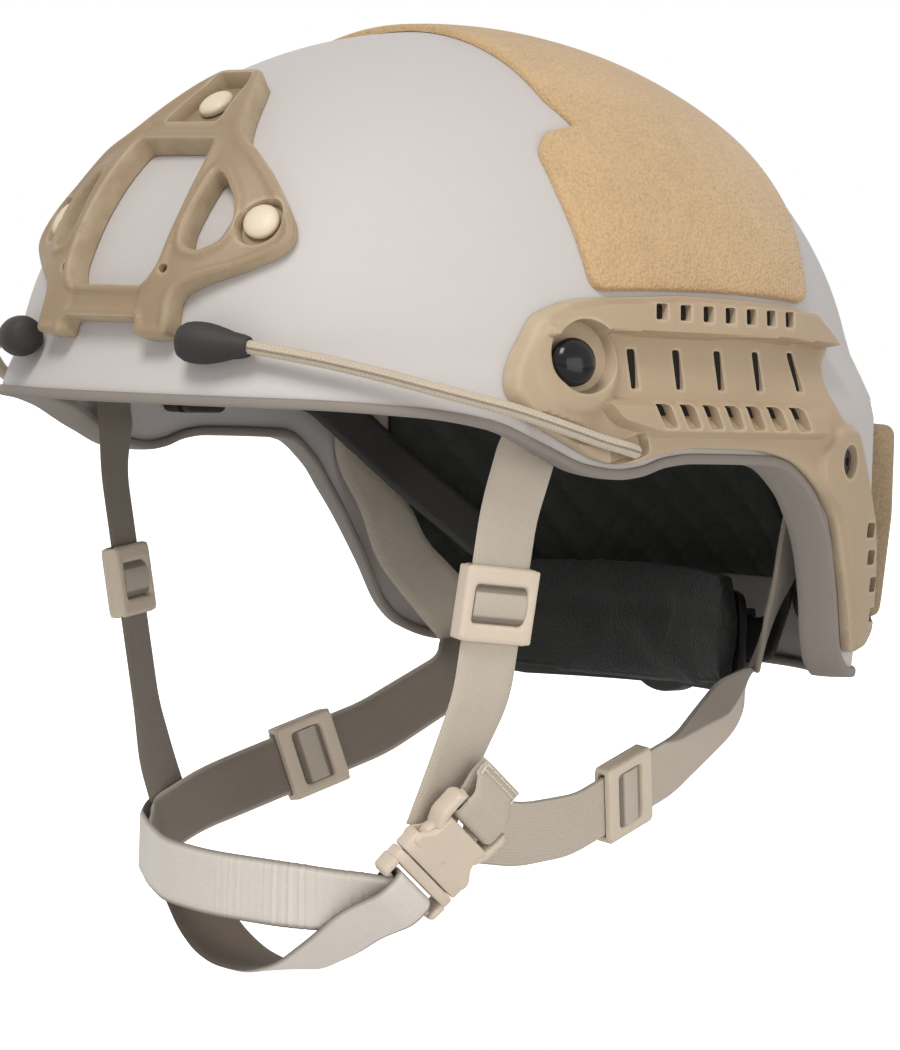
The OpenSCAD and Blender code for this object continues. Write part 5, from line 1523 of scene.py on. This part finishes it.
def creases(run):
    """Fine creases across the strap near the buckle: two waves of 3.1 and 1.9 mm that come
    and go, and almost die out round the chin."""
    fade = smooth((run - 6) / 10) * (0.2 + 0.8 * smooth((70 - run) / 35))
    swell = 0.6 + 0.4 * np.sin(run / 4.3)
    end = smooth((run[-1] - 6 - run) / 15)
    return end * fade * swell * (0.28 * np.sin(run * 2 * np.pi / 3.1)
                                 + 0.16 * np.sin(run * 2 * np.pi / 1.9))


chin_front = strap_frames(chin_front_route, 12.0, 0.45)
points, faces, uv, behind = webbing(chin_front, ripple=creases)
piece("chin_webbing_front", ("helmet", "buckle", to_frame((-20, -83, -139)),
      to_frame((59.5, -86, -142))), "webbing", LIT_CHIN_WEBBING, points, faces,
      ["chin_strap_front"], uv=uv, lining=facing_head(chin_front, behind))
chin_lower = strap_frames(chin_lower_route, 12.0, 0.8)
points, faces, uv, behind = webbing(chin_lower, wide=STRAP_W * 0.9)
# The upper face of the lower chin strap, under the chin, gets painted shade.
lower_top_shade = behind if chin_lower[2][len(chin_lower[2]) // 2, 2] < 0 else 1 - behind
piece("chin_webbing_lower", ("helmet", "buckle", to_frame((-13.9, -66, -160.3)),
      to_frame((64.4, -82, -145.9))), "webbing", LIT_CHIN_WEBBING, points, faces,
      ["chin_strap_lower"], uv=uv, lining=lower_top_shade)
y1, y2 = BAR_T / 2 + SEAT + STRAP_T / 2 + 0.1, -BUCKLE_T / 2 - 1.3
loop_points = [(y2 + STRAP_T + SEAT, z + 35), (y2 + STRAP_T + SEAT, z + 31.5),
               (y1, z + 25.5), (y1, z + 17.9), (-y1, z + 17.9), (-y1, z + 24.5), (y2, z + 30),
               (y2, z + 35)]
web_loop = strap_frames([in_buckle_at(*point) for point in loop_points], 1.5, 0.6)
points, faces, uv, _ = webbing(web_loop, wide=LOOP_W)
piece("web_loop", "helmet", "webbing", WEBBING, points, faces, ["buckle_loop"], uv=uv)
end_run, seam_x = web_loop[3][-1], 7.6
seams = [((s, -seam_x), (s, seam_x)) for s in (0.9, 2.6, end_run - 0.9, end_run - 2.6)]
seams += [((0.9, x), (5.4, x)) for x in (-seam_x, seam_x)]
piece("web_loop_stitches", "helmet", "webbing", THREAD,
      *joined(*[sew(web_loop, seams, face) for face in (1, -1)]))
print("chin straps", round(chin_front[3][-1]), "and", round(chin_lower[3][-1]), "mm")

# %% [markdown]
# ## Pads
# Pads of foam in dark fabric keep the shell off the head. They could be plain boxes with
# round edges, but cloth pulled over foam swells between its seams. So each pad starts as a
# thin crowned slab on the inner wall, is meshed evenly, and is blown up by the cloth
# solver. The side on the wall is held, and no point may move more than a few millimetres.

# %% Swelling a pad
PAD_T, PAD_SEAT, VOXEL_M, PAD_PRESSURE, LAST_FRAME, PIPING_R = 13.0, 0.9, 0.0035, 4.0, 20, 1.0


def crowned(s, t):
    """Share of a pad's thickness: half at its edges, full in the middle."""
    return 0.5 + 0.5 * np.maximum(np.sin(np.pi * s) * np.sin(np.pi * t), 0) ** 0.35


def pad_grid(across, up):
    """Two parameters from 0 to 1 over a pad, with the corners of the square drawn in."""
    u, v = np.meshgrid(np.linspace(-1, 1, across), np.linspace(-1, 1, up), indexing="ij")
    return 0.5 + u * np.sqrt(1 - 0.2 * v ** 2) / 2, 0.5 + v * np.sqrt(1 - 0.2 * u ** 2) / 2


def coordinates(mesh):
    """Points of a mesh as an array, in metres."""
    flat = np.empty(len(mesh.vertices) * 3)
    mesh.vertices.foreach_get("co", flat)
    return flat.reshape(-1, 3)


def swollen(points, faces, held, most):
    """Even mesh of a solid, blown up by cloth pressure. held gives, for points in head
    millimetres, which ones stay, and no point moves more than most millimetres."""
    scene = bpy.context.scene
    start = linked("pad_start", new_mesh("pad_start", points, faces))
    even = start.modifiers.new("even", "REMESH")
    even.mode, even.voxel_size = "VOXEL", VOXEL_M
    mesh = bpy.data.meshes.new_from_object(
        start.evaluated_get(bpy.context.evaluated_depsgraph_get()))
    bpy.data.objects.remove(start)
    rest = coordinates(mesh)
    quads = corners_of(mesh).reshape(-1, 4)
    grown = rest
    bag = linked("pad_bag", mesh)
    fixed = bag.vertex_groups.new(name="fixed")
    fixed.add(np.flatnonzero(held(to_head(rest))).tolist(), 1.0, "REPLACE")
    cloth = bag.modifiers.new("cloth", "CLOTH")
    cloth.settings.vertex_group_mass = "fixed"
    cloth.settings.use_pressure = True
    cloth.settings.uniform_pressure_force = PAD_PRESSURE
    cloth.settings.effector_weights.gravity = 0
    for at in range(1, LAST_FRAME + 1):
        scene.frame_set(at)
    grown = coordinates(bag.evaluated_get(bpy.context.evaluated_depsgraph_get()).data)
    scene.frame_set(1)
    bpy.data.objects.remove(bag)
    move = (grown - rest) * 1000
    length = np.linalg.norm(move, axis=1, keepdims=True)
    move = move * np.minimum(1, most / np.maximum(length, 1e-9))
    print("swelled by up to", round(float(np.linalg.norm(move, axis=1).max()), 1), "mm")
    return to_head(rest) + move, [quads]


def depth_in(points):
    """How far points lie inside the shell's inner wall, in millimetres, with their plan
    angle and the wall's outward direction. Six times, the gap along that direction to the
    skin at the depth found so far is added to the depth."""
    deep = np.zeros(len(points))
    plan = np.degrees(np.arctan2(
        power(points[:, 1] / half_len(points[:, 1], 0), POWER / 2),
        power(points[:, 0] / HALF_W, POWER / 2)))
    out = normal(plan, points[:, 2])
    for _ in range(6):
        deep = deep + ((skin(plan, points[:, 2], -WALL - deep) - points) * out).sum(1)
    return deep, plan, out


def fabric_pad(name, stands_for, points, faces, body="helmet"):
    """Pad piece with one subdivision."""
    made = piece(name, body, "pad_foam", PAD_FABRIC, points, faces, [stands_for], crease=80)
    finer = made.modifiers.new("finer", "SUBSURF")
    finer.levels = finer.render_levels = 1


def piping(loop):
    """Seam cord round a pad: a closed tube with eight sides along a closed line."""
    ahead = unit(np.roll(loop, -1, 0) - np.roll(loop, 1, 0))
    out = unit(loop - loop.mean(0))
    out = unit(out - ahead * (out * ahead).sum(1, keepdims=True))
    return tube(ringed(loop, out, np.cross(ahead, out), PIPING_R, 8), capped=False)


# %% Wall pads


def wall_pad(a0, a1, z0, z1, channels):
    """Pad on the inner wall between two angles and two arc heights, swelled, with sewn
    channels at angles given, where the head's side is drawn in."""
    s, t = pad_grid(30, 18)

    def at(deep):
        return skin(a0 + (a1 - a0) * s, arc_z(z0 + (z1 - z0) * t, -WALL - deep), -WALL - deep)

    points, faces = slab(at(PAD_SEAT + 0.4), at(PAD_SEAT + 0.84 * PAD_T * crowned(s, t)))
    points, faces = swollen(points, faces, lambda p: depth_in(p)[0] < PAD_SEAT + 1.8, 2.6)
    deep, plan, out = depth_in(points)
    drawn = np.clip(deep / PAD_T, 0, 1) * sum(
        np.exp(-((plan - c) * 1.9 / 2.0) ** 2) for c in channels)
    too_near = np.maximum(PAD_SEAT + 0.2 - deep, 0)
    points = points - out * (too_near - 2.2 * drawn)[:, None]
    seam = piping(border_of(at(PAD_SEAT + 0.46 * PAD_T)[1:-1, 1:-1]))
    return joined((points, faces), seam)


fabric_pad("brow_cushion", "brow_pad", *wall_pad(-122, -58, 6, 36, (-101, -79)))
fabric_pad("rear_cushion", "rear_pad", *wall_pad(60, 120, 20, 66, (80, 100)))
for where, solid in both_sides(*wall_pad(-16, 34, 26, 76, (9,))):
    fabric_pad(f"side_cushion_{where}", f"side_pad_{where}", *solid)

# %% [markdown]
# The crown pad lies under the top of the dome, and the nape pad on the cradle. They are
# swelled in the same way from their own slabs.

# %% Crown pad and nape pad
CROWN_PAD_T, CROWN_HALF = WAIST + CROWN - WALL - HEAD_TOP, (44.0, 52.0)
NAPE_Z, NAPE_BACK, NAPE_HALF, NAPE_T, NAPE_H = -67.0, 103.0, 54.0, 12.0, 40.0


def under_crown(x, y, off):
    """Point of the dome over x and y: the plan's share of its outline gives the height."""
    q = ((np.abs(x) / (HALF_W + off)) ** POWER
         + (np.abs(y) / half_len(y, off)) ** POWER) ** (2 / POWER)
    return np.stack([x, y, WAIST + (CROWN + off) * np.sqrt(1 - q)], -1)


u, v = np.meshgrid(np.linspace(-0.97, 0.97, 25), np.linspace(-0.97, 0.97, 27), indexing="ij")
x, y = CROWN_HALF[0] * u * np.sqrt(1 - v ** 2 / 2), CROWN_HALF[1] * v * np.sqrt(1 - u ** 2 / 2)
thick = crowned((u + 1) / 2, (v + 1) / 2)
points, faces = slab(under_crown(x, y, -WALL - PAD_SEAT - 0.4),
                     under_crown(x, y, -WALL - 0.86 * CROWN_PAD_T * thick))


def on_dome(points):
    """True near the wall above: the gap to the dome at the same x and y is small."""
    return under_crown(points[:, 0], points[:, 1], -WALL)[:, 2] - points[:, 2] < 3.5


points, faces = swollen(points, faces, on_dome, 2.4)
cross = np.exp(-(points[:, 0] / 2.2) ** 2) + np.exp(-(points[:, 1] / 2.2) ** 2)
points = points + np.array([0, 0, 1.0]) * (2.4 * np.minimum(cross, 1) * ~on_dome(points))[:, None]
points[:, 2] = np.maximum(points[:, 2], HEAD_TOP)
seam = piping(border_of(under_crown(x, y, -WALL - 0.5 * CROWN_PAD_T)[1:-1, 1:-1]))
fabric_pad("crown_cushion", "crown_pad", *joined((points, faces), seam))


def nape_y(x):
    """Forward bow of the cradle: its middle lies farthest back."""
    return NAPE_BACK - 19 * (np.abs(x) / NAPE_HALF) ** 2


s, t = pad_grid(34, 18)
x, z = NAPE_HALF * (2 * s - 1) * 0.985, NAPE_Z + NAPE_H * (t - 0.5) * 0.97
points, faces = slab(np.stack([x, nape_y(x) - 0.6, z], -1),
                     np.stack([x, nape_y(x) - 0.3 - 0.84 * NAPE_T * crowned(s, t), z], -1))
points, faces = swollen(points, faces, lambda p: nape_y(p[:, 0]) - p[:, 1] < 2.0, 2.4)
front_side = nape_y(points[:, 0]) - points[:, 1]
middle = np.exp(-((points[:, 2] - NAPE_Z - 4) / 1.7) ** 2)
points[:, 1] += 1.5 * middle * np.clip(front_side / NAPE_T, 0, 1)
points[:, 1] = np.minimum(points[:, 1], nape_y(points[:, 0]) - 0.3)
border = border_of(np.stack([x, nape_y(x) - 0.5 * NAPE_T, z], -1)[1:-1, 1:-1])
fabric_pad("nape_cushion", "nape_pad", *joined((points, faces), piping(border)), "cradle")

# %% [markdown]
# ## Lining of the back
# A quilted lining covers the wall behind the head. Quilting is a height that falls to a
# seam along two sets of slanting lines, so the surface is worked out straight from the
# angle and the height on the wall, without the solver.

# %% Quilted lining
LINER_T, LINER_SEAT, QUILT = 4.0, 1.8, 15.0
a, z = np.meshgrid(np.linspace(0, 1, 150), np.linspace(-66, 14, 90), indexing="ij")
edge_y = np.interp(z, [-66, -51, -33, -19, 14], [90, 78, 75, 73.5, 73])
edge_angle = side_angle(edge_y, z, -WALL)
plan = edge_angle + (180 - 2 * edge_angle) * a
along_wall = (plan - 90) * 2.05
rise, fall = (along_wall + z) / QUILT, (along_wall - z) / QUILT
z = 14 - (14 - z) * (1 - 0.17 * smooth((27 - np.abs(plan - 90)) / 14))
puff = np.abs(np.sin(np.pi * rise) * np.sin(np.pi * fall)) ** 0.4
rim = np.minimum(np.minimum(a, 1 - a) * 200, np.minimum(z - z[:, :1], 14 - z))
full = LINER_T * (0.45 + 0.55 * puff) * (1 - 0.45 * np.exp(-(rim / 1.6) ** 2))
points, faces = slab(skin(plan, z, -WALL - LINER_SEAT), skin(plan, z, -WALL - LINER_SEAT - full))
lining = piece("rear_lining", "helmet", "liner_fabric", LINER_FABRIC, points, faces,
               ["rear_liner"], crease=60)
print("lining", len(points), "points")

# %% [markdown]
# ## Cradle, dial and head band
# The nape pad sits on a bowed plastic cradle. A dial behind it draws in two flat strips
# that run forwards along the temples through guides on the side walls. The plates come
# from the plate helper, and the dial is turned, with a formula for its sixteen grooves.

# %% Cradle and housing
CRADLE_T, DIAL_Z, DIAL_D, STRIP_W, STRIP_THICK, GAP = 3.0, -71.0, 34.0, 14.0, 1.5, 0.4
DIAL_Y, FLOOR_TOP, LID_BOTTOM = NAPE_BACK + CRADLE_T, 2.3, 4.6


def behind_nape(uv, h):
    """Cradle coordinates to the head: across, up, and backwards from the bowed line."""
    return np.stack([uv[:, 0], nape_y(uv[:, 0]) + h, uv[:, 1]], -1)


def behind_dial(uv, h):
    """Dial coordinates to the head: across, up, and backwards from the cradle."""
    return np.stack([uv[:, 0], DIAL_Y + h, DIAL_Z + uv[:, 1]], -1)


cradle_line = box_line((0, NAPE_Z - 4), (2 * NAPE_HALF, NAPE_H - 8), corner=9)
vents = [box_line((sign * at, NAPE_Z - 4), (4.5, 20), corner=2) for sign in (1, -1)
         for at in (26, 35, 44)]
cradle = plate(cradle_line, vents, 1.8,
               lambda uv, d: CRADLE_T - rounding(d, 0.8) - 0.8 * smooth((d - 2.2) / 1.5),
               flat_at(0.0), behind_nape)
piece("nape_cradle_plate", "cradle", "dark_plastic", DARK_PLASTIC, *cradle[:2], ["nape_cradle"],
      edge=cradle[2])
arc = np.radians(np.linspace(30, 150, 31))
arch = (DIAL_D / 2 + 2) * np.stack([np.cos(arc), np.sin(arc)], -1)
wing = np.array([(34, 9.5), (34, -9.5)])
housing_line = np.concatenate([wing[::-1], arch, wing * [-1, 1], -arch])
bore = [ring_line((0, 0), 4.3)]
side_fill = np.array([(-34, 7.4), (34, 7.4), (34, 9.5), *arch, (-34, 9.5)])
under = plate(housing_line, bore, 1.6, flat_at(FLOOR_TOP),
              lambda uv, d: 0.3 + rounding(d, 0.5), behind_dial)
lid = plate(housing_line, bore, 1.4,
            lambda uv, d: 7.3 + ramp(18.0 - np.hypot(*uv.T), 1.5) - rounding(d, 1.2),
            flat_at(LID_BOTTOM), behind_dial)
walls = [plate(side_fill * [1, sign], [], 1.8, flat_at(LID_BOTTOM), flat_at(FLOOR_TOP),
               behind_dial) for sign in (1, -1)]
points, faces = joined(*[solid[:2] for solid in (under, lid, *walls)])
piece("dial_case", "cradle", "dark_plastic", DARK_PLASTIC, points, faces, ["dial_housing"])

# %% Dial, strips and guides
GROOVES, GROOVE_DEPTH, KNOB_R = 16, 0.85, 17
turn = circle(192)
knob = np.array([(0.1, 4.8), (4.0, 4.8), (4.0, 8.7), (15.2, 8.7), (16.4, 9.1), (17, 9.9),
                 (17, 15.6), (16.6, 16.6), (15.6, 17.3), (13.4, 17.6), (12.6, 17.2),
                 (11.8, 16.4), (8.4, 16.3), (7.6, 17.1), (6.6, 17.6), (0.1, 17.6)])
arc_off = (turn * GROOVES / (2 * np.pi) + 0.5) % 1 - 0.5
groove = GROOVE_DEPTH * np.exp(-(arc_off * 2 * np.pi * KNOB_R / GROOVES / 1.15) ** 2)
reach = knob[:, :1] - groove[None] * (knob[:, :1] > 14)
rings = np.stack([reach * np.cos(turn), np.broadcast_to(DIAL_Y + knob[:, 1:], reach.shape),
                  DIAL_Z + reach * np.sin(turn)], -1)
points, faces = tube(rings)
piece("dial_wheel", "dial", "dark_plastic", DARK_PLASTIC, points, faces, ["dial_knob"])

STRIP_Y, STRIP_X, STRIP_Z = DIAL_Y + 0.3 + 2 + GAP + STRIP_THICK / 2, 93.0, 4.0
GUIDE_Y = -11
strip_route = [[3, STRIP_Y, DIAL_Z, 0, 0, 1], [43, STRIP_Y, DIAL_Z, 0, 0, 1],
               [64, 97, -50, 0, 0.3, 1], [84, 70, -24, 0, 0.35, 1],
               [STRIP_X, 38, STRIP_Z - 2, 0, 0.1, 1], [STRIP_X, 22, STRIP_Z, 0, 0, 1],
               [STRIP_X, -24, STRIP_Z, 0, 0, 1]]
strip = webbing(strap_frames(strip_route), STRIP_W, STRIP_THICK)[:2]
tunnel = (STRIP_X - STRIP_THICK / 2 - GAP, STRIP_X + STRIP_THICK / 2 + GAP)
guide_line = box_line((GUIDE_Y, STRIP_Z), (18, STRIP_W + 5), corner=3)


def on_side(uv, h):
    """Guide coordinates to the head: backwards, up, and outwards."""
    return np.stack([h, uv[:, 0], uv[:, 1]], -1)


def wall_x(uv, depth):
    """Level just clear of the shell's inner wall."""
    return on_flank(uv, -WALL - PAD_SEAT)[:, 0]


guide = [plate(guide_line, [box_line((GUIDE_Y, STRIP_Z), (8, 6), corner=2)], 1.3,
               lambda uv, d: STRIP_X - 2.6 + rounding(d, 1.0), flat_at(tunnel[0]), on_side),
         plate(guide_line, [], 1.6, flat_at(tunnel[1]), wall_x, on_side)]
for sign in (1, -1):
    rim = box_line((GUIDE_Y, STRIP_Z + sign * (STRIP_W / 2 + GAP + 1.05)), (15, 2.1), corner=0.4)
    guide.append(plate(rim, [], 1.6, flat_at(tunnel[0]), flat_at(tunnel[1]), on_side))
guide = joined(*[solid[:2] for solid in guide])
for (where, band), (_, holder) in zip(both_sides(*strip), both_sides(*guide)):
    piece(f"temple_strip_{where}", "cradle", "dark_plastic", DARK_PLASTIC, *band,
          [f"head_strip_{where}"])
    piece(f"temple_guide_{where}", "helmet", "dark_plastic", DARK_PLASTIC, *holder,
          [f"strip_guide_{where}"])
print("cradle, dial, strips and guides made")

# %% [markdown]
# ## Floor and light
# The helmet hangs as in the photograph, above a plain pale floor. One soft lamp at the
# upper left of the camera models the forms, a weak one fills the right, and the world
# lights the rest evenly but dimly, so that the inside stays dark. For the camera the world
# is plain white, and the floor's own white grows with distance, so that it meets the
# background without a line while the shadow under the helmet stays.

# %% Floor, lamps and world
FLOOR_Z, FLOOR_HALF, FLOOR_GLOW, WORLD_STRENGTH = -0.30, 12.0, 0.58, 0.48
KEY_SIZE, KEY_W, FILL_SIZE, FILL_W = 0.6, 16, 1.0, 6
floor_mesh = bpy.data.meshes.new("floor")
corners = [(-1, -1), (1, -1), (1, 1), (-1, 1)]
floor_mesh.from_pydata([(x * FLOOR_HALF, y * FLOOR_HALF, FLOOR_Z) for x, y in corners], [],
                       [(0, 1, 2, 3)])
floor = linked("floor", floor_mesh)
floor_paint = bpy.data.materials.new("floor_paint")
floor_paint.use_nodes = True
tree = floor_paint.node_tree
matt = tree.nodes["Principled BSDF"]
matt.inputs["Base Color"].default_value = srgb(246, 246, 246)
matt.inputs["Roughness"].default_value = 0.9
rays = node(tree, "ShaderNodeLightPath")
place = node(tree, "ShaderNodeTexCoord")
away = node(tree, "ShaderNodeVectorMath", {0: place.outputs["Object"]}, operation="LENGTH")
far = node(tree, "ShaderNodeMapRange", {"Value": away.outputs["Value"], "From Min": 0.3,
                                        "From Max": 1.6, "To Min": FLOOR_GLOW, "To Max": 1.0},
           interpolation_type="SMOOTHSTEP")
glow = node(tree, "ShaderNodeEmission", {"Strength": far.outputs["Result"]})
lifted = node(tree, "ShaderNodeAddShader", {0: matt.outputs[0], 1: glow.outputs[0]})
seen = node(tree, "ShaderNodeMixShader", {"Fac": rays.outputs["Is Camera Ray"],
                                          1: matt.outputs[0], 2: lifted.outputs[0]})
tree.links.new(seen.outputs[0], tree.nodes["Material Output"].inputs["Surface"])
floor_mesh.materials.append(floor_paint)


def lamp(name, place, aim, size, power_w):
    """Square area lamp at a place in metres, turned towards a point."""
    light = bpy.data.lights.new(name, "AREA")
    light.shape, light.size, light.energy = "SQUARE", size, power_w
    z_axis = unit(np.subtract(place, aim))
    x_axis = unit(np.cross([0, 0, 1], z_axis))
    linked(name, light).matrix_world = set_at(x_axis, np.cross(z_axis, x_axis), z_axis, place)


middle = np.array([0, 0, -0.1])
lamp("key", middle + unit([0.25, -0.6, 0.76]) * 1.7, middle, KEY_SIZE, KEY_W)
lamp("fill", eye * 0.6 + right * 0.7 - [0, 0, 0.15], middle, FILL_SIZE, FILL_W)
world = bpy.data.worlds.new("studio")
bpy.context.scene.world = world
world.use_nodes = True
tree = world.node_tree
rays = node(tree, "ShaderNodeLightPath")
shown = math(tree, "MAXIMUM", rays.outputs["Is Camera Ray"],
             math(tree, "MAXIMUM", rays.outputs["Is Glossy Ray"],
                  rays.outputs["Is Transmission Ray"]))
dim = tree.nodes["Background"]
dim.inputs["Color"].default_value = (1, 1, 1, 1)
dim.inputs["Strength"].default_value = WORLD_STRENGTH
bright = node(tree, "ShaderNodeBackground", {"Color": (1, 1, 1, 1), "Strength": 1.0})
mix = node(tree, "ShaderNodeMixShader", {"Fac": shown, 1: dim.outputs[0], 2: bright.outputs[0]})
tree.links.new(mix.outputs[0], tree.nodes["World Output"].inputs["Surface"])
bpy.context.scene.view_settings.view_transform = "Standard"
